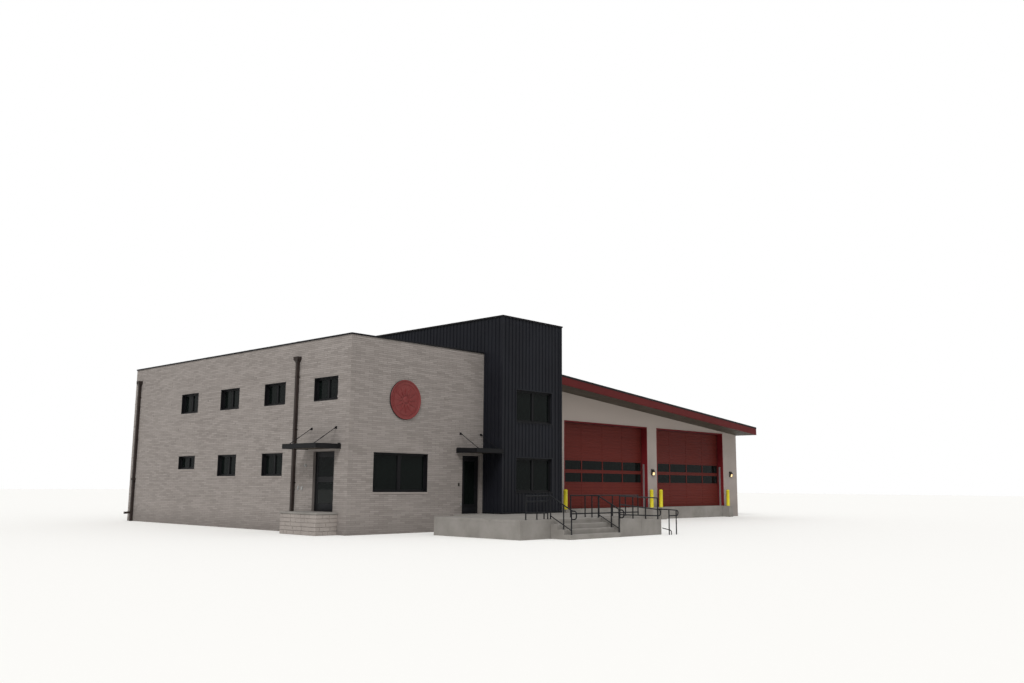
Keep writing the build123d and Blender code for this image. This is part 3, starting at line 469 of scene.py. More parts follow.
# Turns a finished bmesh into a piece that rides on a body and carries its material.
def finishPiece(build, name, slotName, body="station", replaced=(), smooth=None, material=None):
    bmesh.ops.remove_doubles(build, verts=build.verts, dist=1e-6)
    bmesh.ops.recalc_face_normals(build, faces=build.faces)
    mesh = bpy.data.meshes.new(name)
    build.to_mesh(mesh)
    build.free()
    if smooth:
        mesh.shade_smooth()
        mesh.set_sharp_from_angle(angle=math.radians(smooth))
    mesh.materials.append(material or materials[slotName])
    piece = newObject(name, mesh)
    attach(piece, body)
    if replaced:
        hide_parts(*replaced)


# Wall frames: first axis along the wall, second up from the floor, third out of its face
def wallFrame(along, out, x, y):
    return frameFrom(along, (0, 0, 1), out, (grid[x], grid[y], grid["floorZ"]))


leftWall = wallFrame((0, 1, 0), (-1, 0, 0), "officeX", "frontY")
frontWall = wallFrame((1, 0, 0), (0, -1, 0), "officeX", "frontY")
rearWall = wallFrame((-1, 0, 0), (0, 1, 0), "endX", "rearY")
towerFront = wallFrame((1, 0, 0), (0, -1, 0), "towerX", "towerY")
towerLeft = wallFrame((0, 1, 0), (-1, 0, 0), "towerX", "towerY")
towerRight = wallFrame((0, 1, 0), (1, 0, 0), "bayX", "towerY")
bayFront = wallFrame((1, 0, 0), (0, -1, 0), "bayX", "bayY")

# Railings of round steel tube on flanged posts, in the front wall's frame
railing = {
    "tube": 21, "lowTube": 16, "bend": 90, "inset": 80, "heights": (205, 575, 745),
    "rampHeights": (120, 745), "flange": 38, "flangeThick": 8, "bolts": 4, "boltCircle": 31,
    "landingEdge": 5600, "landingLeft": 2500, "steps": (3970, 6660), "tread": 280, "riser": 155,
    "guard": (350, 60), "topRun": 300, "loopReach": 165, "loopDrop": 260, "postIn": 40,
    "middlePost": 476, "footRise": 110,
    "rampEnd": 9105, "rampEdge": 6400, "rampWidth": 1500, "rampSlope": 1 / 30,
    "nearGuard": (80, 105), "backStart": 730, "hand": (460, 325), "handReach": 75, "handDrop": 200,
    "shortReach": 598, "shortTop": (272, 228), "shortPosts": (15, 475), "shortDrop": 180,
    "shortFoot": ((-405, -369), (155, -472), (155, -619)), "frontReach": 300,
}
lastStep = railing["landingEdge"] + 3 * railing["tread"]


def rampLevel(along, slope=railing["rampSlope"]):
    # The ramp leaves the landing at the right end of the steps
    return -max(0, along - railing["steps"][1]) * slope


def addPost(build, along, out, foot, top):
    # A post on a round flange, with bolt heads and a weld bead round its foot
    tube, flange, thick = pick(railing, "tube flange flangeThick")
    addTube(build, frontWall, [(along, foot + thick / 2, out), (along, top, out)], tube)
    base = seatOn(frontWall, along, foot, out) @ upright
    addTurned(build, [(0, 0), (flange, 0), (flange, thick * 0.7), (flange - 3, thick),
                      (tube + 6, thick), (tube + 2, thick + 6), (0, thick + 6)], base, 20)
    for k in range(railing["bolts"]):
        turn = math.tau * (k + 0.5) / railing["bolts"]
        across, deep = (f(turn) * railing["boltCircle"] for f in (math.cos, math.sin))
        addTurned(build, [(0, 0), (4.5, 0), (4.5, 4), (0, 5.5)], seatOn(base, across, deep, thick), 6)


def addGuard(build, span, out, posts, heights, slope=0):
    # Posts at even steps and a tube at each height, over a floor that may slope
    tube = railing["tube"]
    for i in range(posts):
        along = span[0] + (span[1] - span[0]) * i / (posts - 1)
        level = rampLevel(along, slope)
        addPost(build, along, out, level, level + heights[-1])
    for height in heights:
        ends = [(along, rampLevel(along, slope) + height, out) for along in inset(span, -tube)]
        addTube(build, frontWall, ends, tube)


def buildLandingGuard():
    build = bmesh.new()
    before, after = railing["guard"]
    span = (railing["landingLeft"] + before, railing["steps"][0] - after)
    addGuard(build, span, railing["landingEdge"] - railing["inset"], 3, railing["heights"])
    finishPiece(build, "landingGuardTubes", "rail_steel", replaced=["landing_guard"], smooth=50)


def buildStairRails():
    build = bmesh.new()
    tube, edge, riser, foot = pick(railing, "tube landingEdge riser footRise")
    high, rise = edge - railing["inset"], railing["heights"][-1]
    back, middle = high - railing["topRun"], edge + railing["middlePost"]
    post, low = lastStep - railing["postIn"], groundLevel + riser + rise
    end, loop = lastStep + railing["loopReach"], low - railing["loopDrop"]
    fall = (rise - low) / (lastStep - high)
    line = ((rise, back), (rise, high), (low, lastStep), (low, end), (loop, end), (loop, post))
    for along in inset(railing["steps"], railing["inset"]):
        addTube(build, frontWall, [(along, up, out) for up, out in line], tube, railing["bend"])
        addPost(build, along, back + tube, 0, rise)
        addPost(build, along, high, 0, rise - tube / 2)
        addPost(build, along, middle, -2 * riser, rise - fall * (middle - high))
        addPost(build, along, post, groundLevel + riser, rise - fall * (post - high))
        addTube(build, frontWall, [(along, foot, high), (along, foot - fall * (post - high), post)],
                railing["lowTube"])
    finishPiece(build, "stairRailTubes", "rail_steel", replaced=["stair_rails"], smooth=50)


def buildRampRails():
    build = bmesh.new()
    tube, bend, edge, stop = pick(railing, "tube bend inset rampEnd")
    start, out = railing["steps"][1], railing["rampEdge"] - edge
    near = (start + railing["nearGuard"][0], stop - railing["nearGuard"][1])
    addGuard(build, near, out, 4, railing["rampHeights"], railing["rampSlope"])
    loop, loopUp = stop + railing["handReach"], rampLevel(stop) + railing["hand"][1]
    low = loopUp - railing["handDrop"]
    addTube(build, frontWall, [(near[0] - tube, railing["hand"][0], out), (loop, loopUp, out),
                               (loop, low, out), (near[1], low, out)], tube, bend)
    addGuard(build, (start - railing["backStart"], officeWidth + towerWide - edge),
             railing["rampEdge"] - railing["rampWidth"] - edge, 6, railing["rampHeights"])
    # Short handrail over the lowest ground, joined to the last post of the near guard
    short, end = lastStep + railing["frontReach"] - tube, stop + railing["shortReach"]
    startUp, endUp = railing["shortTop"]
    drop, posts = endUp - railing["shortDrop"], [stop + value for value in railing["shortPosts"]]
    addTube(build, frontWall, [(near[1], startUp, out), (near[1], startUp, short)], tube)
    addTube(build, frontWall, [(near[1] - tube, startUp, short), (end, endUp, short),
                               (end, drop, short), (posts[0], drop, short)], tube, bend)
    for post in posts:
        top = startUp - (startUp - endUp) * (post - near[1]) / (end - near[1])
        addTube(build, frontWall, [(post, groundLevel, short), (post, top, short)], tube)
    foot = [(stop + along, up, short) for along, up in railing["shortFoot"]]
    addTube(build, frontWall, foot, railing["lowTube"], bend)
    finishPiece(build, "rampRailTubes", "rail_steel", replaced=["ramp_rails"], smooth=50)


buildLandingGuard()
buildStairRails()
buildRampRails()
print("railings ready")

# Openings as (left, right, sill, head)
sideWindow = {"start": 705, "wide": 1380, "pitch": 3225, "upper": (3992, 4795), "lower": (1361, 2190),
              "lastSill": 1649}
sideColumns = [(sideWindow["start"] + sideWindow["pitch"] * i,
                sideWindow["start"] + sideWindow["pitch"] * i + sideWindow["wide"]) for i in range(4)]
upperWindows = [(*column, *sideWindow["upper"]) for column in sideColumns]
lowerWindows = [(*column, *sideWindow["lower"]) for column in sideColumns[1:]]
lowerWindows[-1] = (*sideColumns[-1], sideWindow["lastSill"], sideWindow["lower"][1])
frontWindow = (1088, 3592, 817, 2182)
towerWindows = [(800, 2905, 818, 2137), (800, 2905, 3533, 4780)]
sideDoorway, entryDoorway = (763, 1990, 140, 2197), (5348, 6283, 0, 2180)

# Roof of the bays: standing seams, a pressed edge trim, fascia joints and a boarded soffit
bayRoof = {"slope": 0.085, "depth": 440, "front": 1300, "side": 150, "underEnd": 4090, "seam": 480,
           "seamHigh": 38, "seamHalf": 9, "trimHigh": 85, "setBack": 12, "joint": 3050, "jointHalf": 45,
           "board": 200, "groove": 7, "soffit": 19.7, "fascia": 40, "flashing": 160,
           "flashingHigh": 190}


def underside(along):
    # Height of the roof's underside at a place along the bay front
    return bayRoof["underEnd"] + (baysWide + bayRoof["side"] - along) * bayRoof["slope"]


# Bricks of the three brick walls, laid over the walls' faces: each lies a little proud of the next
brickLaying = {
    "length": 397, "course": 67.7, "joint": 9, "proud": 3.0, "uneven": 2.2, "roughShare": 0.12,
    "roughProud": 8, "chamfer": 1.6, "least": 22, "seed": 41, "tone": (0.25, 1.0),
}


def cutAround(piece, openings):
    # What is left of one brick beside, under and over the openings
    pieces = [piece]
    for left, right, sill, head in openings:
        kept = []
        for low, high, foot, top in pieces:
            if high <= left or low >= right or top <= sill or foot >= head:
                kept.append((low, high, foot, top))
                continue
            middle = (max(low, left), min(high, right))
            kept += [(low, left, foot, top), (right, high, foot, top)]
            kept += [(*middle, foot, sill), (*middle, head, top)]
        least = brickLaying["least"]
        pieces = [p for p in kept if p[1] - p[0] > least and p[3] - p[2] > least]
    return pieces


def layCourse(wall, pieces):
    # One course as a bmesh of its own, which keeps the work on each brick short
    course = bmesh.new()
    tone = course.faces.layers.float.new("tone")
    out = wall.col[2].to_3d()
    fronts = []
    for low, high, foot, top, proud, shade in pieces:
        corners = addPlate(course, wall, (low, high), (foot, top), (-1, proud))
        faces = dict.fromkeys(face for corner in corners for face in corner.link_faces)
        for face in faces:
            face[tone] = shade
        fronts.append(max(faces, key=lambda face: face.calc_center_median().dot(out)))
    bevelEdges(course, (edge for face in fronts for edge in face.edges), brickLaying["chamfer"], 1)
    bmesh.ops.recalc_face_normals(course, faces=course.faces)
    return course


def buildBricks(name, wall, stretches, openings=()):
    # Each stretch of wall is its two ends along the wall and the height of its top at each end
    build = bmesh.new()
    build.faces.layers.float.new("tone")
    laid = bpy.data.meshes.new("course")
    draw = random.Random(brickLaying["seed"])
    length, course, joint, least = pick(brickLaying, "length course joint least")
    for start, end, startTop, endTop in stretches:
        rows = int((max(startTop, endTop) - groundLevel) / course) + 1
        for row in range(rows):
            foot = groundLevel + row * course
            place = (start // length) * length - (row % 2) * length / 2
            pieces = []
            while place < end:
                low, high = max(place, start), min(place + length - joint, end)
                slopeTop = min(startTop + (endTop - startTop) * (u - start) / (end - start)
                               for u in (low, high))
                whole = (low, high, foot, min(foot + course - joint, slopeTop))
                place += length
                if high - low < least or whole[3] - foot < least:
                    continue
                proud = brickLaying["proud"] + draw.uniform(-1, 1) * brickLaying["uneven"]
                if draw.random() < brickLaying["roughShare"]:
                    proud += draw.random() * brickLaying["roughProud"]
                shade = draw.uniform(*brickLaying["tone"])
                pieces += [(*piece, proud, shade) for piece in cutAround(whole, openings)]
            layer = layCourse(wall, pieces)
            layer.to_mesh(laid)
            layer.free()
            build.from_mesh(laid)
    bpy.data.meshes.remove(laid)
    finishPiece(build, name, "painted_brick")


proudEnd, rearTower = brickLaying["proud"], baysWide + towerWide
buildBricks("leftWallBricks", leftWall, [(-proudEnd, officeDepth, wallTop, wallTop)],
            upperWindows + lowerWindows + [sideDoorway])
buildBricks("frontWallBricks", frontWall, [(0, officeWidth, wallTop, wallTop)],
            [frontWindow, entryDoorway])
buildBricks("rearWallBricks", rearWall, [
    (0, baysWide, underside(baysWide), underside(0)), (baysWide, rearTower, towerTop, towerTop),
    (rearTower, rearTower + officeWidth + proudEnd, wallTop, wallTop)])
print("brickwork ready")

# Bollards: plastic sleeves over steel posts, with a domed head and a raised band at each end
bollard = {"radius": 99, "height": 920, "dome": 60, "out": 260, "foot": -4.7, "band": 30, "step": 4,
           "groove": 3, "lines": (4150, 11090, 11940, 18750)}


def buildBollards():
    build = bmesh.new()
    radius, height, dome, band, step = pick(bollard, "radius height dome band step")
    shoulder, lip = height - dome, radius - bollard["groove"]
    head = [(radius * math.cos(t), shoulder + dome * math.sin(t))
            for t in (math.pi / 2 * i / 8 for i in range(8))]
    profile = [(0, 0), (radius, 0), (radius, band), (lip, band + step), (lip, shoulder - band),
               (radius, shoulder - band + step), *head, (0, height)]
    for line in bollard["lines"]:
        addTurned(build, profile, seatOn(bayFront, line, bollard["foot"], bollard["out"]) @ upright, 40)
    finishPiece(build, "bollardSleeves", "bollard_yellow", replaced=["bollards"], smooth=40)


buildBollards()

# Wall emblem: a dished disc with a rolled rim, a ring bead, twelve rays, a hub and eight studs
emblem = {"radius": 715, "thick": 70, "relief": 20, "rim": 60, "hub": 120, "rays": 12,
          "place": (2440, 4091), "ring": 560, "ringHalf": 9, "rayFoot": 165, "rayTip": 470,
          "rayHalf": 46, "rayTipHalf": 7, "studs": 8, "studPlace": 610, "spokeHalf": 6, "sides": 96}


def buildEmblem():
    seat = seatOn(frontWall, *emblem["place"])
    radius, thick, rim, hub, ring, half = pick(emblem, "radius thick rim hub ring ringHalf")
    face = thick - emblem["relief"]
    build, edge = bmesh.new(), bmesh.new()
    addTurned(build, [
        (0, 12), (radius - 20, 12), (radius - 6, face), (radius - 4, thick - 8), (radius - 12, thick),
        (radius - rim + 12, thick), (radius - rim, thick - 8), (radius - rim - 6, face),
        (ring + half, face - 2), (ring + half * 0.6, face + 8), (ring - half * 0.6, face + 8),
        (ring - half, face - 3), (hub + 30, face - 8), (hub, face - 6), (hub - 10, face + 10),
        (hub * 0.6, face + 17), (0, thick)], seat, emblem["sides"])
    foot, tip, wide, narrow = pick(emblem, "rayFoot rayTip rayHalf rayTipHalf")
    ray = [(foot, -wide), (tip, -narrow), (tip + narrow, 0), (tip, narrow), (foot, wide)]
    spoke = rectangle((tip + 20, ring - 20), about(0, emblem["spokeHalf"]))
    for k in range(emblem["rays"]):
        turn = seat @ Matrix.Rotation(math.tau * k / emblem["rays"], 4, "Z")
        addPrism(build, turn, ray, about(face, 9), 4)
        addPrism(build, turn, spoke, (face - 9, face + 3), 1)
    for k in range(emblem["studs"]):
        turn = math.tau * (k + 0.5) / emblem["studs"]
        place = [middle + emblem["studPlace"] * f(turn)
                 for middle, f in zip(emblem["place"], (math.cos, math.sin))]
        addStud(build, frontWall, *place, face - 1, 15, 9, 12)
    finishPiece(build, "emblemDisc", "emblem_red", replaced=["wall_emblem"], smooth=35)
    # A dark band round the disc's side: painted shade, standing in for the shaded edge of the disc
    addTurned(edge, [(radius - 50, 0.3), (radius - 12, 0.3), (radius, 6), (radius, face - 8),
                     (radius - 6, face - 2), (radius - 50, face - 2), (radius - 50, 0.3)],
              seat, emblem["sides"])
    finishPiece(edge, "emblemShadeBand", "dark_metal", smooth=35)


buildEmblem()
print("bollards and emblem ready")

# Windows: glazing beads, gaskets, raised frame edges, head drips and pans over the sills
windowTrim = {
    "reveal": 110, "towerReveal": 100, "face": 60, "mullion": 100, "frontMullion": 150, "glassSet": 38,
    "bead": 14, "gasket": 5, "edge": 18, "edgeProud": 5, "surround": 26, "surroundProud": 11,
    "surroundIn": 14, "drip": 16, "pan": 3,
}


def buildWindowTrims(name, wall, windows, reveal, mullion, lined):
    # Trims of one wall's windows; lined ones have a thin metal surround on the brick face
    trims, seals = bmesh.new(), bmesh.new()
    face, edge, bead, drip, pan = pick(windowTrim, "face edge bead drip pan")
    raised, glass = (-reveal - 1, -reveal + windowTrim["edgeProud"]), -reveal - windowTrim["glassSet"]
    for left, right, sill, head in windows:
        middle = (left + right) / 2
        addRim(trims, wall, (left + 1, right - 1), (sill + 1, head - 1), raised, edge, 1.5)
        for side in (middle - mullion / 2, middle + (mullion - edge) / 2):
            addPlate(trims, wall, (side, side + edge / 2), inset((sill, head), edge), raised, 1.5)
        up = inset((sill, head), face)
        for pane in ((left + face, middle - mullion / 2), (middle + mullion / 2, right - face)):
            addRim(trims, wall, pane, up, (glass + 2, -reveal - 8), bead, 2.5)
            addRim(seals, wall, inset(pane, bead), inset(up, bead), (glass - 1, glass + 4),
                   windowTrim["gasket"], 1)
        hood = [(-2, head + 4), (-2, head - 1), (drip, head - 7), (drip, head - 11),
                (drip + 2, head - 11), (drip + 2, head - 4)]
        tray = [(-reveal, sill + 16), (-reveal, sill + 16 + pan), (drip, sill + 1 + pan),
                (drip, sill - 14), (drip - pan, sill - 14), (drip - pan, sill + 1)]
        for profile, edgeIn in ((hood, -12), (tray, 16)):
            addProfile(trims, wall, profile, inset((left, right), edgeIn))
        if lined:
            reach = windowTrim["surround"] - windowTrim["surroundIn"]
            addRim(trims, wall, inset((left, right), -reach), inset((sill, head), -reach),
                   (-1, windowTrim["surroundProud"]), windowTrim["surround"], 2)
    finishPiece(trims, name + "Trims", "dark_metal")
    finishPiece(seals, name + "Gaskets", "rail_steel")


for name, wall, windows, reveal, mullion, lined in (
        ("upperWindow", leftWall, upperWindows, "reveal", "mullion", True),
        ("lowerWindow", leftWall, lowerWindows, "reveal", "mullion", False),
        ("frontWindow", frontWall, [frontWindow], "reveal", "frontMullion", False),
        ("towerWindow", towerFront, towerWindows, "towerReveal", "mullion", False)):
    buildWindowTrims(name, wall, windows, windowTrim[reveal], windowTrim[mullion], lined)

# Cast sills with a weathered top and a drip groove
sillShape = {"reach": 20, "thick": 60, "side": 10, "fall": 7, "groove": 6}


def buildSills():
    build = bmesh.new()
    reach, fall, groove = pick(sillShape, "reach fall groove")
    for wall, windows in ((leftWall, lowerWindows), (frontWall, [frontWindow])):
        for left, right, sill, _ in windows:
            low = sill - sillShape["thick"]
            high = sill - fall
            profile = [(0.3, low), (reach - groove * 2, low), (reach - groove * 1.7, low + 4),
                       (reach - groove * 1.2, low + 4), (reach - groove, low), (reach - 2, low),
                       (reach, low + 2), (reach, high - 2), (reach - 2, high), (0.3, sill)]
            addProfile(build, wall, profile, inset((left, right), -sillShape["side"]))
    finishPiece(build, "castSills", "sill_stone", replaced=["window_sills"])


buildSills()
print("windows ready")

# Parapet copings: pressed caps with mitred corners, hemmed drips and plates over their joints
coping = {"thick": 60, "lip": 25, "fall": 10, "hem": 5, "sheet": 3, "joint": 3050, "plate": 150,
          "plateProud": 3, "towerWall": 250, "brickWall": 350}


def addCap(build, corners, wallWide, top, closed):
    # Corners are those of the outer edge, in metres; the cap falls inwards from it
    thick, fall, hem, sheet, proud = pick(coping, "thick fall hem sheet plateProud")
    width = wallWide + 2 * coping["lip"]
    profile = [(0, -sheet), (0, 12 - thick), (hem, 2 - thick), (hem, -thick), (-4, -thick),
               (4 - width, -thick), (-width - hem, -thick), (-width - hem, 2 - thick),
               (-width, 12 - thick), (-width, -fall - sheet)]
    skirt = 16 - thick
    cover = [(proud, 0), (proud, skirt), (-2, skirt), (-2, -sheet), (2 - width, -fall - sheet),
             (2 - width, skirt), (-width - proud, skirt), (-width - proud, -fall)]
    addMitred(build, [(x, y, top) for x, y in corners], profile, closed)
    # Plates over the joints, along each straight run
    for start, end in zip(corners, corners[1:] + (corners[:1] if closed else [])):
        start, end = Vector(start), Vector(end)
        length, way = (end - start).length, (end - start).normalized()
        count = max(1, round(length / (coping["joint"] * mm)))
        for k in range(1, count):
            places = about(length * k / count, coping["plate"] * mm / 2)
            addMitred(build, [(*(start + way * place), top) for place in places], cover)


def buildCopings():
    build = bmesh.new()
    lip, rear = coping["lip"] * mm, grid["rearY"] + coping["lip"] * mm
    left, front, tower = grid["officeX"] - lip, grid["frontY"] - lip, grid["towerX"] - 0.5 * mm
    addCap(build, [(tower, rear), (left, rear), (left, front), (tower, front)], coping["brickWall"],
           grid["officeZ"], False)
    left, right, front = grid["towerX"] - lip, grid["bayX"] + lip, grid["towerY"] - lip
    addCap(build, [(left, front), (right, front), (right, rear), (left, rear)], coping["towerWall"],
           grid["towerZ"], True)
    finishPiece(build, "copingCaps", "dark_metal", replaced=["parapet_copings"])


buildCopings()

# Flashings and screws of the ribbed cladding
cladTrim = {"plinth": 60, "drip": 14, "screwPitch": 590, "screw": (6, 4), "screwIn": 61.2,
            "screwBack": 111.2, "screwUp": 120, "screwDown": 40, "windowTrim": 45, "corner": 34}


def buildCladdingTrims():
    build = bmesh.new()
    low, drip, corner, pitch = pick(cladTrim, "plinth drip corner screwPitch")
    base = [(-30, 8), (-30, 5), (drip, -4), (drip, -12), (drip + 2, -12), (drip + 2, -2)]
    x0, x1, y0, level = grid["towerX"], grid["bayX"], grid["towerY"], grid["floorZ"] + low * mm
    addMitred(build, [(x0, grid["frontY"] - 0.01, level), (x0, y0, level), (x1, y0, level),
                      (x1, grid["bayY"] - 0.01, level)], base)
    for place, way in ((0, 1), (towerWide, -1)):
        for start, end, back in ((-2, corner, 1), (-2.5, 0.5, corner)):
            addPlate(build, towerFront, (place + start * way, place + end * way), (low + 4, towerTop),
                     (-back, 2.5), 1)
    # Screws along the edge trims and round the windows
    near, back = cladTrim["screwIn"], cladTrim["screwBack"]
    foot = low + cladTrim["screwUp"]
    for k in range(int((towerTop - foot - cladTrim["screwDown"]) / pitch) + 1):
        for wall, along in ((towerFront, near), (towerFront, towerWide - near), (towerRight, back),
                            (towerLeft, back)):
            addStud(build, wall, along, foot + pitch * k, 0, *cladTrim["screw"])
    trim = cladTrim["windowTrim"]
    for left, right, sill, head in towerWindows:
        across, up = (inset(span, -trim / 2) for span in ((left, right), (sill, head)))
        places = [(left + (right - left) * (k + 0.5) / 5, row) for k in range(5) for row in up]
        places += [(along, sill + (head - sill) * (k + 0.5) / 3) for k in range(3) for along in across]
        for along, row in places:
            addStud(build, towerFront, along, row, 0, *cladTrim["screw"])
    finishPiece(build, "claddingTrims", "tower_cladding")


buildCladdingTrims()
print("copings and cladding trims ready")

# Canopies over the two doors: a pressed channel round a recessed deck, and a boarded soffit
canopy = {"top": 2440, "deep": 170, "rim": 40, "web": 7, "flange": 9, "side": (405, 2380),
          "sideReach": 1050, "entry": (5007, 6439.7), "entryReach": 1130, "board": 130, "groove": 6,
          "soffitUp": 20, "soffitTop": 34, "deckUp": 30, "seam": 420, "seamHalf": 6, "seamHigh": 22,
          "lipHigh": 35, "endPlate": 30}


def buildCanopy(name, node, wall, along, reach):
    build, boards = bmesh.new(), bmesh.new()
    top, deep, rim, web, flange = pick(canopy, "top deep rim web flange")
    low = top - deep
    channel = [(0, 0), (0, -flange), (-web, -flange - 5), (-web, flange + 5 - deep), (0, flange - deep),
               (0, -deep), (-rim, -deep), (-rim, 0)]
    corners = [wall @ (Vector((u, top, w)) * mm) for u, w in
               ((along[0], 0.3), (along[0], reach), (along[1], reach), (along[1], 0.3))]
    if wall.determinant() < 0:
        corners.reverse()
    addMitred(build, corners, channel)
    inner = inset(along, rim - 1)
    addPlate(build, wall, inner, (low + canopy["deckUp"], top - rim), (0.3, reach - rim + 1), 1)
    # Upstand seams of the deck and a lip where it meets the wall
    seams = max(2, round((inner[1] - inner[0]) / canopy["seam"]))
    for k in range(1, seams):
        place = inner[0] + (inner[1] - inner[0]) * k / seams
        addPlate(build, wall, about(place, canopy["seamHalf"]),
                 (top - rim - 1, top - rim + canopy["seamHigh"]), (6, reach - rim), 2)
    addPlate(build, wall, inner, (top - rim - 1, top + canopy["lipHigh"]), (0.3, 5), 1)
    for u, way in zip(along, (1, -1)):
        addPlate(build, wall, (u - 1.5 * way, u + canopy["endPlate"] * way),
                 inset((low, top), flange + 8), (reach - web - 1, reach - web + 4), 1)
    finishPiece(build, name + "Channel", "dark_metal", replaced=[node])
    count = round((reach - rim) / canopy["board"])
    step = (reach - rim) / count
    for k in range(count):
        addPlate(boards, wall, inner, (low + canopy["soffitUp"], low + canopy["soffitTop"]),
                 (k * step + 1, (k + 1) * step - canopy["groove"]), 2)
    finishPiece(boards, name + "Soffit", "bay_soffit_metal")


buildCanopy("sideCanopy", "side_canopy", leftWall, canopy["side"], canopy["sideReach"])
buildCanopy("entryCanopy", "entry_canopy", frontWall, canopy["entry"], canopy["entryReach"])

# Tie rods: round bars between forked ends, with a turnbuckle, wall plates and lugs on the deck
tieRod = {"radius": 11, "rise": 565, "inset": 130, "plateHalf": 45, "plateThick": 12, "boss": 25,
          "fork": 70, "forkHalf": 14, "cheek": 6, "pin": 8, "bolt": 31, "buckle": 170,
          "buckleRadius": 17, "bucklePlace": 0.62, "side": (709, 2148), "entry": (5221, 6310)}


def addRod(build, wall, along, reach):
    rise, deck = canopy["top"] + tieRod["rise"], canopy["top"] - canopy["rim"]
    half, thick, boss, cheek, fork, bolt = pick(tieRod, "plateHalf plateThick boss cheek fork bolt")
    addPlate(build, wall, about(along, half), about(rise, half), (0.3, thick), 2)
    for u in (-bolt, bolt):
        for v in (-bolt, bolt):
            addStud(build, wall, along + u, rise + v, thick, 8, 7, 6)
    head = Vector((along, rise, thick + boss))
    foot = Vector((along, deck + boss, reach - tieRod["inset"]))
    # Lugs that stand on the plate and on the deck
    lug = about(along, cheek)
    addPlate(build, wall, lug, about(rise, boss), (thick - 1, thick + 2 * boss), 3)
    addPlate(build, wall, lug, (deck - 1, deck + 2 * boss), about(foot.z, boss), 3)
    addPlate(build, wall, about(along, 2 * boss), (deck - 1, deck + 8), about(foot.z, 2 * boss), 2)
    way = (foot - head).normalized()
    addTube(build, wall, [head + way * fork, foot - way * fork], tieRod["radius"])
    side, pin, wide = wall.col[0].to_3d(), Vector((cheek * 3 + 4, 0, 0)), about(0, tieRod["forkHalf"])
    for point, ahead in ((head, way), (foot, -way)):
        addTube(build, wall, [point - pin, point + pin], tieRod["pin"], sides=10)
        direction = (wall.to_3x3() @ ahead).normalized()
        seat = frameFrom(direction, direction.cross(side), side, wall @ (point * mm))
        for arm in ((-cheek * 3, -cheek - 1), (cheek + 1, cheek * 3)):
            addPlate(build, seat, (-16, fork), wide, arm, 3)
        addPlate(build, seat, (fork - 14, fork + 8), wide, about(0, cheek * 3), 3)
    middle = head.lerp(foot, tieRod["bucklePlace"])
    ends = [middle + way * end for end in about(0, tieRod["buckle"] / 2)]
    addTube(build, wall, ends, tieRod["buckleRadius"], sides=6)


def buildRods():
    build = bmesh.new()
    for wall, name in ((leftWall, "side"), (frontWall, "entry")):
        for along in tieRod[name]:
            addRod(build, wall, along, canopy[name + "Reach"])
    finishPiece(build, "tieRods", "dark_metal", replaced=["canopy_rods"], smooth=40)


buildRods()
print("canopies ready")

# Downspouts: folded square pipes with slip joints, leader heads, straps and turned-out shoes
downspout = {"pipe": 110, "standoff": 20, "places": (3100, 15700), "headTop": 5660, "headHigh": 200,
             "headWide": 260, "headOut": 190, "straps": (1100, 3000, 4900), "strapWide": 40,
             "strapSide": 30, "joints": (820, 2640, 4460), "jointHigh": 70, "jointScrew": 48,
             "seamFoot": 200, "shoe": (-300, -190), "shoeReach": 260, "boot": (1180, 1290),
             "bootLip": 28}


def addLeaderHead(build, along):
    # A box with two rims and a tapered throat down to the pipe
    stand, half, top = downspout["standoff"], downspout["pipe"] / 2, downspout["headTop"]
    wide, out = downspout["headWide"] / 2, downspout["headOut"]
    low, shoulder = top - downspout["headHigh"], top - downspout["headHigh"] / 2
    addPlate(build, leftWall, about(along, wide), (shoulder, top - 6), (0.3, out - 6), 4)
    for up in ((top - 24, top), (shoulder - 3, shoulder + 12)):
        addPlate(build, leftWall, about(along, wide + 0.5), up, (0.3, out), 4)
    middle = (0.3 + out - 6) / 2
    start = seatOn(leftWall, along, shoulder, middle) @ upright
    end = seatOn(leftWall, along, low, stand + half) @ upright @ Matrix.Diagonal(
        ((half + 3) / wide, (half + 3) / middle, 1, 1))
    base = addOutline(build, rectangle(about(0, wide), about(0, middle)), start)
    pushAlong(build, base, [start, end])
    addPlate(build, leftWall, about(along, half + 5), (low - 30, low + 6),
             (stand - 5, stand + 2 * half + 5), 3)


